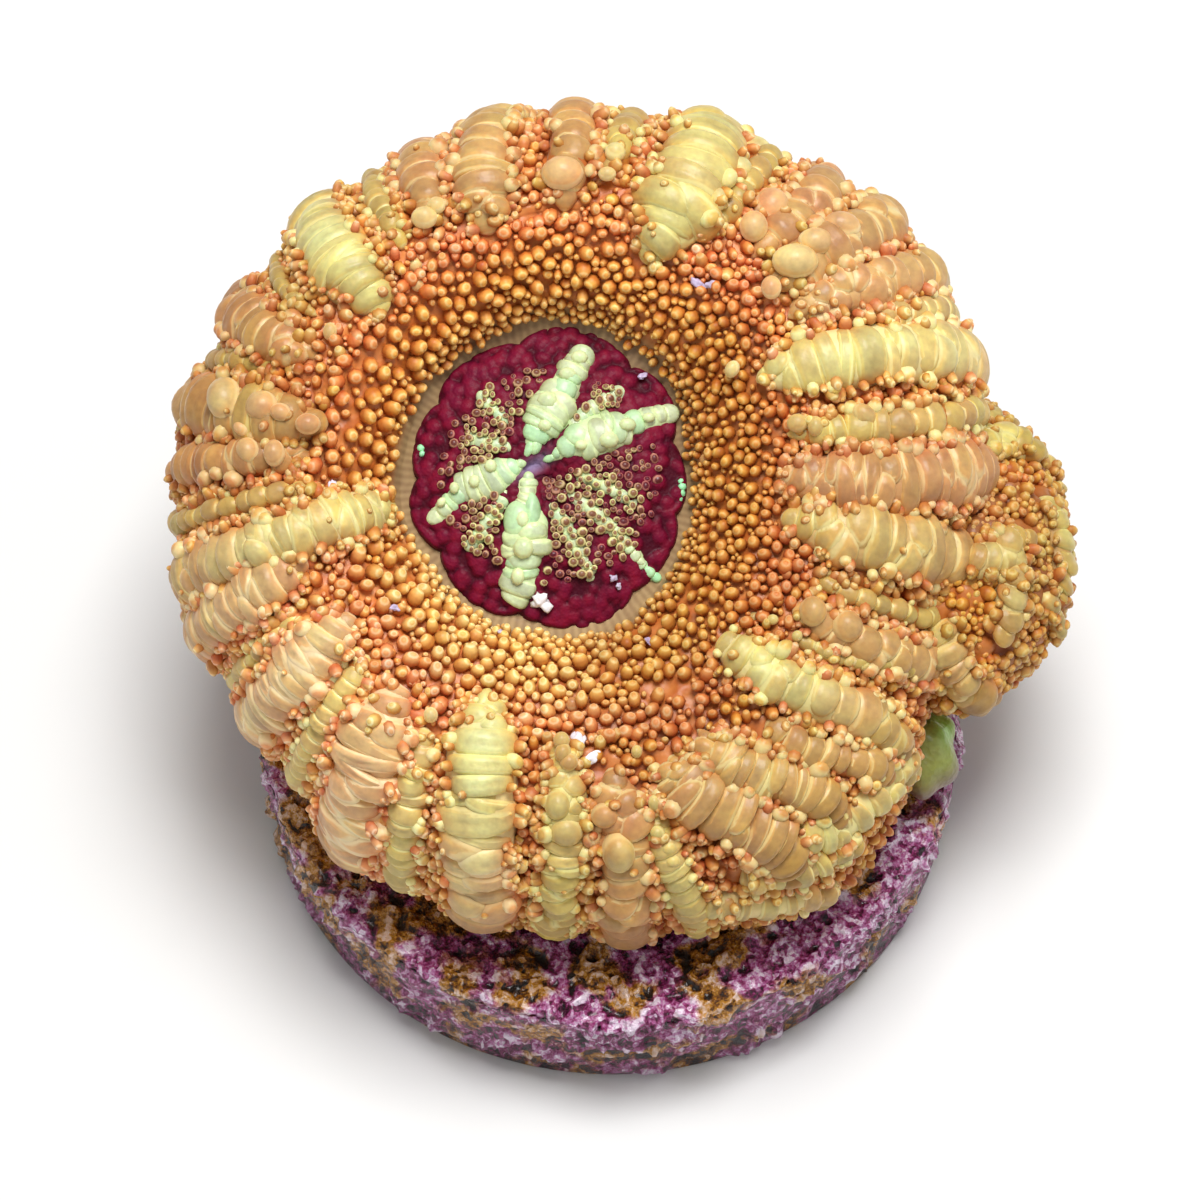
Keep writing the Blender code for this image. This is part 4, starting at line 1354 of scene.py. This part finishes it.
def rib_way(rib):
    """A rib's way over the disc as x and y, bent a little to one side by half a sine wave."""

    def way(share):
        """The x and y at a share of the way."""
        bend = 0.04 * np.sin(np.pi * share)
        dx, dy = rib.end_x - rib.x, rib.end_y - rib.y
        return rib.x + dx * share - dy * bend, rib.y + dy * share + dx * bend

    return way


def make_ribs(material, rng):
    """The disc's cream ribs with bubbles standing on them, and the mint tip of one."""
    ribs = Shapes()
    for rib in RIBS:
        tint = (0.35 if rib.width > WIDE_RIB else 0.1, 0.0)
        pleated_row(ribs, lambda s: (disc_point(*rib_way(rib)(s)), disc_normal(*rib_way(rib)(s))), rib.width,
                    rib.height, rib.pitch, rng, tint, rib.softness, lean=(0.05, 0.2), taper=rib.taper, spread=0.5)
    pleated_row(ribs, lambda s: (disc_point(3.9 + 0.8 * s, -3.7 - 0.75 * s), disc_normal(4.0 + s, -3.9 - s)),
                width=0.7, height=0.3, pitch=0.4, rng=rng, tint=(0.3, 0.8), taper=(0.8, 0.1, 1.0))
    x, y, radii, tint = np.array(RIB_BUBBLES).T
    axes = disc_normal(x, y)
    on_top = disc_point(x, y) + axes * (0.45 + 0.3 * radii - 0.35 * tint)[:, None]
    masks = {"crown": 1.0, "heart": 1.0, "tint": tint, "gap": edge_gap(0.6 * radii, BEAD_ANGLES)}
    add_beads(ribs, on_top, axes + 0.1 * rng.normal(size=axes.shape), radii, 0.8, PLAIN_FLESH | masks)
    ribs.make("mouth_ribs", material, "pale_ribs")


def make_ringlets(material, rng):
    """The ringed bubbles, scattered beside the ribs and loose between them."""
    spots, pales = [], []
    for rib in RIBS:
        wide = rib.width > WIDE_RIB
        number, spread = (60, 0.62 * rib.width) if wide else (110, 0.5)
        share, aside = rng.uniform(0.0, 1.0, number), rng.uniform(-1.0, 1.0, number) * spread
        length = math.hypot(rib.end_x - rib.x, rib.end_y - rib.y)
        across = np.array([rib.y - rib.end_y, rib.end_x - rib.x]) / length
        spots.append(np.stack(rib_way(rib)(share), axis=-1) + aside[:, None] * across)
        pales.append(rng.uniform(0.5, 1.0, number) * (0.7 if wide else 1.0))
    spots.append(rng.normal(scale=2.1, size=(3200, 2)))
    pales.append(rng.uniform(0.0, 0.35, len(spots[-1])))
    spots, pales = np.concatenate(spots), np.concatenate(pales)
    inside = (np.hypot(*spots.T) < 4.7) & (np.hypot(*(spots - MOUTH).T) > 0.75)
    for rib in RIBS:
        if rib.width > WIDE_RIB:
            line = np.stack(rib_way(rib)(np.linspace(0, 1, 30)), axis=-1)
            inside &= distance_to(spots, line) > rib.width * 0.42
    spots, pales = only(inside, spots, pales)
    radii = rng.uniform(0.13, 0.25, len(spots))
    kept = spaced(np.column_stack([spots, np.zeros(len(spots))]), radii, crowding=0.74)
    spots, pales, radii = only(kept, spots, pales, radii)
    axes = disc_normal(*spots.T)
    centres = disc_point(*spots.T) + axes * (0.2 + 0.2 * pales)[:, None]
    ringlets = Shapes()
    add_beads(ringlets, centres, axes + 0.14 * rng.normal(size=axes.shape), radii, 0.9, {"pale": pales})
    ringlets.make("ringlets", material, "mouth_disc")


# Crumbs lying on the flesh: (around, section, half length, half width, whiteness).
FLESH_FLECKS = (
    (-177, 106, 0.28, 0.2, 0.6), (54, 106, 0.32, 0.18, 0.2), (52, 103, 0.24, 0.16, 0.3), (-86, 97, 0.4, 0.26, 0.8),
    (-84, 90, 0.35, 0.22, 0.9), (-107, 141, 0.2, 0.15, 0.4), (-60, 128, 0.3, 0.16, 0.1), (-140, 112, 0.28, 0.16, 0.2),
)
# Crumbs lying on the mouth disc: (x, y, half length, half width, whiteness).
DISC_FLECKS = (
    (-0.3, -5.45, 0.42, 0.36, 1.0), (2.75, -4.4, 0.2, 0.16, 0.3), (2.95, -4.75, 0.18, 0.12, 0.4),
    (4.0, 4.4, 0.2, 0.14, 0.2),
)


def make_flecks(material):
    """White and lilac crumbs: flat ovals whose outline and top are pushed in and out by coarse noise."""
    table = np.array(FLESH_FLECKS + DISC_FLECKS, float)
    on_flesh, on_disc = table[:len(FLESH_FLECKS), :2].T, table[len(FLESH_FLECKS):, :2].T
    flesh_middle, flesh_up = flesh(*on_flesh)
    middle = np.concatenate([flesh_middle, disc_point(*on_disc)])
    up = np.concatenate([flesh_up, disc_normal(*on_disc)])
    long_way = unit(np.cross(up, np.sin(7.0 * table[:, :1] + [0.0, 1.0, 2.0])))
    axes = np.stack([long_way, np.cross(up, long_way), up], axis=1)
    angles = np.radians(np.linspace(12, 168, 11))[:, None]
    ball = revolve(np.sin(angles), np.cos(angles), turns(20))
    wobble = 0.3 + 1.3 * lumps(ball[None] + table[:, 0][:, None, None, None], 0.6, salt=77)
    half_sizes = np.stack([table[:, 2], table[:, 3], 0.6 * table[:, 3]], axis=-1)[:, None, None]
    crumbs = np.einsum("nrsk,nkj->nrsj", ball * wobble[..., None] * half_sizes, axes)
    points = (middle + 0.4 * up)[:, None, None] + crumbs
    make_grids(points, {"white": table[:, 4][:, None, None]}, "flecks", material, "pale_ribs")


# ---------------------------------------------------------------- the side polyp and the knob

# Lobes of the side polyp: (longitude and latitude at one end and at the other, width, tint, softness).
SIDE_LOBES = (
    (62, 68, 36, 30, 2.3, 0.95, 0.3),
    (70, 50, 55, 24, 1.3, 0.75, 0.1),
    (-66, 66, -18, 52, 2.3, 0.6, 0.4),
    (12, 36, -24, 14, 1.9, 0.85, 0.1),
    (-30, 56, -62, 30, 1.9, 0.6, 0.4),
    (-97, 42, -72, -6, 2.4, 0.45, 0.5),
    (-30, 26, -30, -8, 1.3, 0.7, 0.1),
    (40, 20, 22, -8, 1.6, 0.7, 0.1),
    (72, 14, 58, -14, 1.8, 0.4, 0.1),
    (100, 32, 96, -4, 2.0, 0.3, 0.1),
)
BUD_PITCH = 0.8  # the length of a pleat
BUD_TRIES = 40000


def bud_cream(points):
    """Patches of the bud, from 0 to 1, where its flesh is cream and brown and not orange: most next to the cushion."""
    return smooth_step((lumps(points, 2.6, salt=19) - 0.42 + 0.2 * smooth_step((17.0 - points[..., 0]) / 4.0)) / 0.2)


def make_side_polyp(flesh_finish, lobe_finish, bead_finish):
    """The bud: an oval of pimpled flesh, its own short lobes, and beads between them."""
    base, out = side_flesh(np.arange(200) * 1.8, np.linspace(-86.0, 86.0, 100)[:, None])
    pimples = dome(cells(base, PIMPLE_SPACING, salt=41)[0], PIMPLE_RADIUS)
    # The bud's flesh takes full painted shade.
    masks = {"knob": pimples, "lip": 0.0, "under": 0.7 * bud_cream(base), "dusk": 1.0}
    points = base + 0.3 * pimples[..., None] * out
    make_grids(points[None], masks, "bud_mantle", flesh_finish, "bud_flesh", "side_polyp")

    rng = np.random.default_rng(31)
    lobes, vesicles, lines = Shapes(), Shapes(), []
    for lon, lat, end_lon, end_lat, width, tint, softness in SIDE_LOBES:
        def way(share):
            """Places and directions at a share of the way."""
            return side_flesh(lon + (end_lon - lon) * share, lat + (end_lat - lat) * share)

        # A painted highlight and heavy painted shade on the bud's lobes, bulbs and vesicles.
        pleats = pleated_row(lobes, way, width, lobe_height(width), BUD_PITCH, rng, (tint, tint), softness,
                             lean=(0.2, 0.4), glow=0.6, dusk=0.8)
        bulbs_on(pleats, lobes, rng, share=0.5, dusk=0.9)
        vesicles_on(pleats, vesicles, rng, warmth=0.3, dusk=1.0)
        lines.append((way(np.linspace(0, 1, 30))[0], width))
    lobes.make("bud_lobes", lobe_finish, "bud_flesh")
    vesicles.make("bud_vesicles", bead_finish, "bud_flesh")
    make_bud_beads(bead_finish, lines, rng)


def make_bud_beads(material, lines, rng):
    """Beads scattered over the bud, clear of the lines of its lobes and of the cushion."""
    lon = rng.uniform(-180, 180, BUD_TRIES)
    points, normals = side_flesh(lon, np.degrees(np.arcsin(rng.uniform(-0.95, 0.98, BUD_TRIES))))
    radii = 0.17 + 0.2 * rng.random(BUD_TRIES) ** 1.4
    clear = np.linalg.norm((points - CENTRE) @ LEANING.T * [1, 1, 0], axis=1) > RING_RADIUS + 4.0
    for line, width in lines:
        clear &= distance_to(points, line) > 0.45 * width
    points, normals, radii = only(clear, points, normals, radii)
    points, normals, radii = only(spaced(points, radii, crowding=0.66), points, normals, radii)
    count = len(points)
    cream = bud_cream(points)
    warm = 0.3 + 0.9 * (lumps(points, 3.2, salt=9) - 0.5) + 0.2 * rng.normal(size=count)
    axes = normals + 0.25 * rng.normal(size=(count, 3))
    stretch = rng.uniform(1.0, 1.4, count)
    pale = (rng.random(count) < 0.15) * 0.7 + cream * rng.uniform(0.4, 1.0, count)
    beads = Shapes()
    # Painted shade on the bud's beads, full on the cream patches.
    add_beads(beads, points + normals * (0.5 * radii)[:, None], axes, radii, stretch,
              {"warm": np.clip(warm, 0, 1), "pale": np.clip(pale, 0, 1), "dusk": 0.9 + 0.5 * cream})
    beads.make("bud_beads", material, "bud_flesh")


def make_knob(finish):
    """The knob: an oval of smooth tissue in the solid's place, lumpy, with a painted highlight, a bright spot near its
    top.
    """
    centre, half = (KNOB_LOW + KNOB_HIGH) / 2, (KNOB_HIGH - KNOB_LOW) / 2
    ball = unit_ball(np.arange(72) * 5.0, np.linspace(-86, 86, 40)[:, None])
    points = centre + ball * half * (0.92 + 0.3 * (lumps(ball, 0.45, salt=51) - 0.5))[..., None]
    patch = bell(np.linalg.norm(ball - unit(np.array([0.6, 0.2, 0.75])), axis=-1) / 0.4)
    masks = {"crown": ball[..., 2], "glow": patch}
    make_grids(above_plug(points, 0.02)[None], masks, "foot_knob", finish, "green_tissue", "base_knob")


# ---------------------------------------------------------------- the plug

PLUG_SIDES = 640
CRUST_DEPTH = 0.35  # how far the crust may stand out of the plug's side
CRUST_TOP = 0.12  # and of its top
CORNER = 0.55
SIDE_START = 0.25  # the height at which the side's rings start


def plug_profile():
    """The plug's outline from the middle of its underside to the middle of its top, as (radius, height)."""
    inner, top = PLUG_RADIUS - CRUST_DEPTH, PLUG_TOP - CRUST_TOP
    under = [(inner * s, 0.0) for s in np.linspace(0.05, 0.94, 12)]
    side = [(inner - 0.3 + 0.3 * s, SIDE_START + (PLUG_TOP - CORNER - SIDE_START) * s) for s in np.linspace(0, 1, 34)]
    bend = [(inner - CORNER + CORNER * math.cos(a), top - CORNER + CORNER * math.sin(a))
            for a in np.radians(np.linspace(8, 90, 8))]
    shares = [*np.linspace(0.985, 0.55, 52), *np.linspace(0.5, 0.05, 8)]
    return np.array(under + side + bend + [((inner - CORNER) * s, top) for s in shares])


def make_plug(finish):
    """The crusted plug: its outline turned round the upright axis, lifted by coralline rosettes with raised rims and
    sunken hearts, and by rough lumps and nubs."""
    profile = plug_profile()
    turn = turns(PLUG_SIDES)
    radius, height = profile[:, :1], profile[:, 1:]
    base = revolve(radius, height, turn)
    slope = np.gradient(profile, axis=0)
    facing = unit(np.stack([slope[:, 1], -slope[:, 0]], axis=-1))
    out = revolve(facing[:, :1], facing[:, 1:], turn)
    bent = base + 0.4 * (np.stack([lumps(base, 0.7, salt=61 + k) for k in range(3)], axis=-1) - 0.5)
    nearest = cells(bent, 1.4, salt=71)[0]
    grown = rise(lumps(base, 2.2, salt=81), 0.4, 0.2)
    rim = bell((nearest - 0.36) / 0.1) * grown
    heart = bell(nearest / 0.18) * grown
    rough = lumps(base, 0.42, salt=91) + 0.5 * lumps(base, 0.24, salt=92)
    nubs = np.clip(0.42 - cells(bent, 0.55, salt=95)[0], 0, 1) * rise(lumps(base, 1.6, salt=97), 0.5, 0.15)
    lift = 0.28 * rim - 0.14 * heart + 0.3 * (rough - 0.75) + 0.9 * nubs - 0.12 * (1 - grown)
    points = base + out * (lift * rise(height, 0.15, 0.5))[..., None]
    masks = {"rim": np.clip(rim, 0, 1), "low": 1.0 - smooth_step(height / 3.5),
             "pit": np.clip(smooth_step((0.62 - rough) / 0.25) * 0.8 + 0.5 * heart, 0, 1),
             "edge": bell((radius - (PLUG_RADIUS - 1.0)) / 1.1) * rise(height, 2.5, 2.5)}
    make_grids(points[None], masks, "crusted_plug", finish, "crusted_plug", "frag_plug")


# ---------------------------------------------------------------- the studio

FLOOR_HALF = 2.5  # lengths in the studio are in metres
# The lamps: (name, place, size, power).
LAMPS = (
    ("key", (0.03, 0.07, 0.45), 0.22, 2.2),
    ("front fill", (-0.25, -0.35, 0.35), 0.35, 0.32),
    ("side fill", (0.4, -0.05, 0.25), 0.3, 0.3),
)
LAMP_TARGET = Vector((0, 0, 0.01))
VIEW_TARGET = np.array([-0.457, 1.62, 13.0]) * MM
VIEW_ELEVATION = 60.0
VIEW_DISTANCE = 0.300
FIELD_WIDTH = 0.05286
SENSOR = 36.0


def make_floor():
    """A plain pale floor under the plug."""
    corners = [(-FLOOR_HALF, -FLOOR_HALF, 0.0), (FLOOR_HALF, -FLOOR_HALF, 0.0),
               (FLOOR_HALF, FLOOR_HALF, 0.0), (-FLOOR_HALF, FLOOR_HALF, 0.0)]
    mesh = bpy.data.meshes.new("floor")
    mesh.from_pydata(corners, [], [(0, 1, 2, 3)])
    material = bpy.data.materials.new("pale floor")
    material.use_nodes = True
    shader = material.node_tree.nodes["Principled BSDF"]
    shader.inputs["Base Color"].default_value = (0.8, 0.8, 0.79, 1.0)
    shader.inputs["Roughness"].default_value = 0.9
    mesh.materials.append(material)
    floor = put_in_scene("floor", mesh)


def aim(thing, at, direction):
    """A lamp or camera moved to a place and turned to look in a direction."""
    thing.location = at
    thing.rotation_euler = direction.to_track_quat("-Z", "Y").to_euler()


def make_studio():
    """A large key lamp above and behind, soft fills at the front and sides, a pale world and the camera."""
    for name, at, size, power in LAMPS:
        lamp = bpy.data.lights.new(name, "AREA")
        lamp.size = size
        lamp.energy = power
        aim(put_in_scene(name, lamp), at, LAMP_TARGET - Vector(at))
    world = bpy.data.worlds.new("studio")
    world.use_nodes = True
    background = world.node_tree.nodes["Background"]
    background.inputs["Color"].default_value = (1.0, 1.0, 1.0, 1.0)
    background.inputs["Strength"].default_value = 0.25
    bpy.context.scene.world = world
    bpy.context.scene.view_settings.view_transform = "Standard"

    elevation = math.radians(VIEW_ELEVATION)
    away = Vector((0.0, -math.cos(elevation), math.sin(elevation)))
    data = bpy.data.cameras.new("camera")
    data.sensor_width = SENSOR
    data.lens = SENSOR * VIEW_DISTANCE / FIELD_WIDTH
    data.clip_start = 0.01
    camera = put_in_scene("camera", data)
    aim(camera, Vector(VIEW_TARGET) + away * VIEW_DISTANCE, -away)
    bpy.context.scene.camera = camera


def main():
    """Every piece and the studio."""
    pleated, beaded, mantle = lobe_material(), bead_material(), mantle_material()
    make_mantle(mantle)
    make_lobes(pleated, beaded)
    make_slope_beads(beaded)
    make_valley_beads(beaded)
    make_bladders(pleated)
    make_disc(disc_material())
    mouth_rng = np.random.default_rng(23)
    make_ribs(rib_material(), mouth_rng)
    make_ringlets(ringlet_material(), mouth_rng)
    make_flecks(fleck_material())
    make_side_polyp(mantle, pleated, beaded)
    make_knob(knob_material())
    make_plug(crust_material())
    make_floor()
    make_studio()


main()
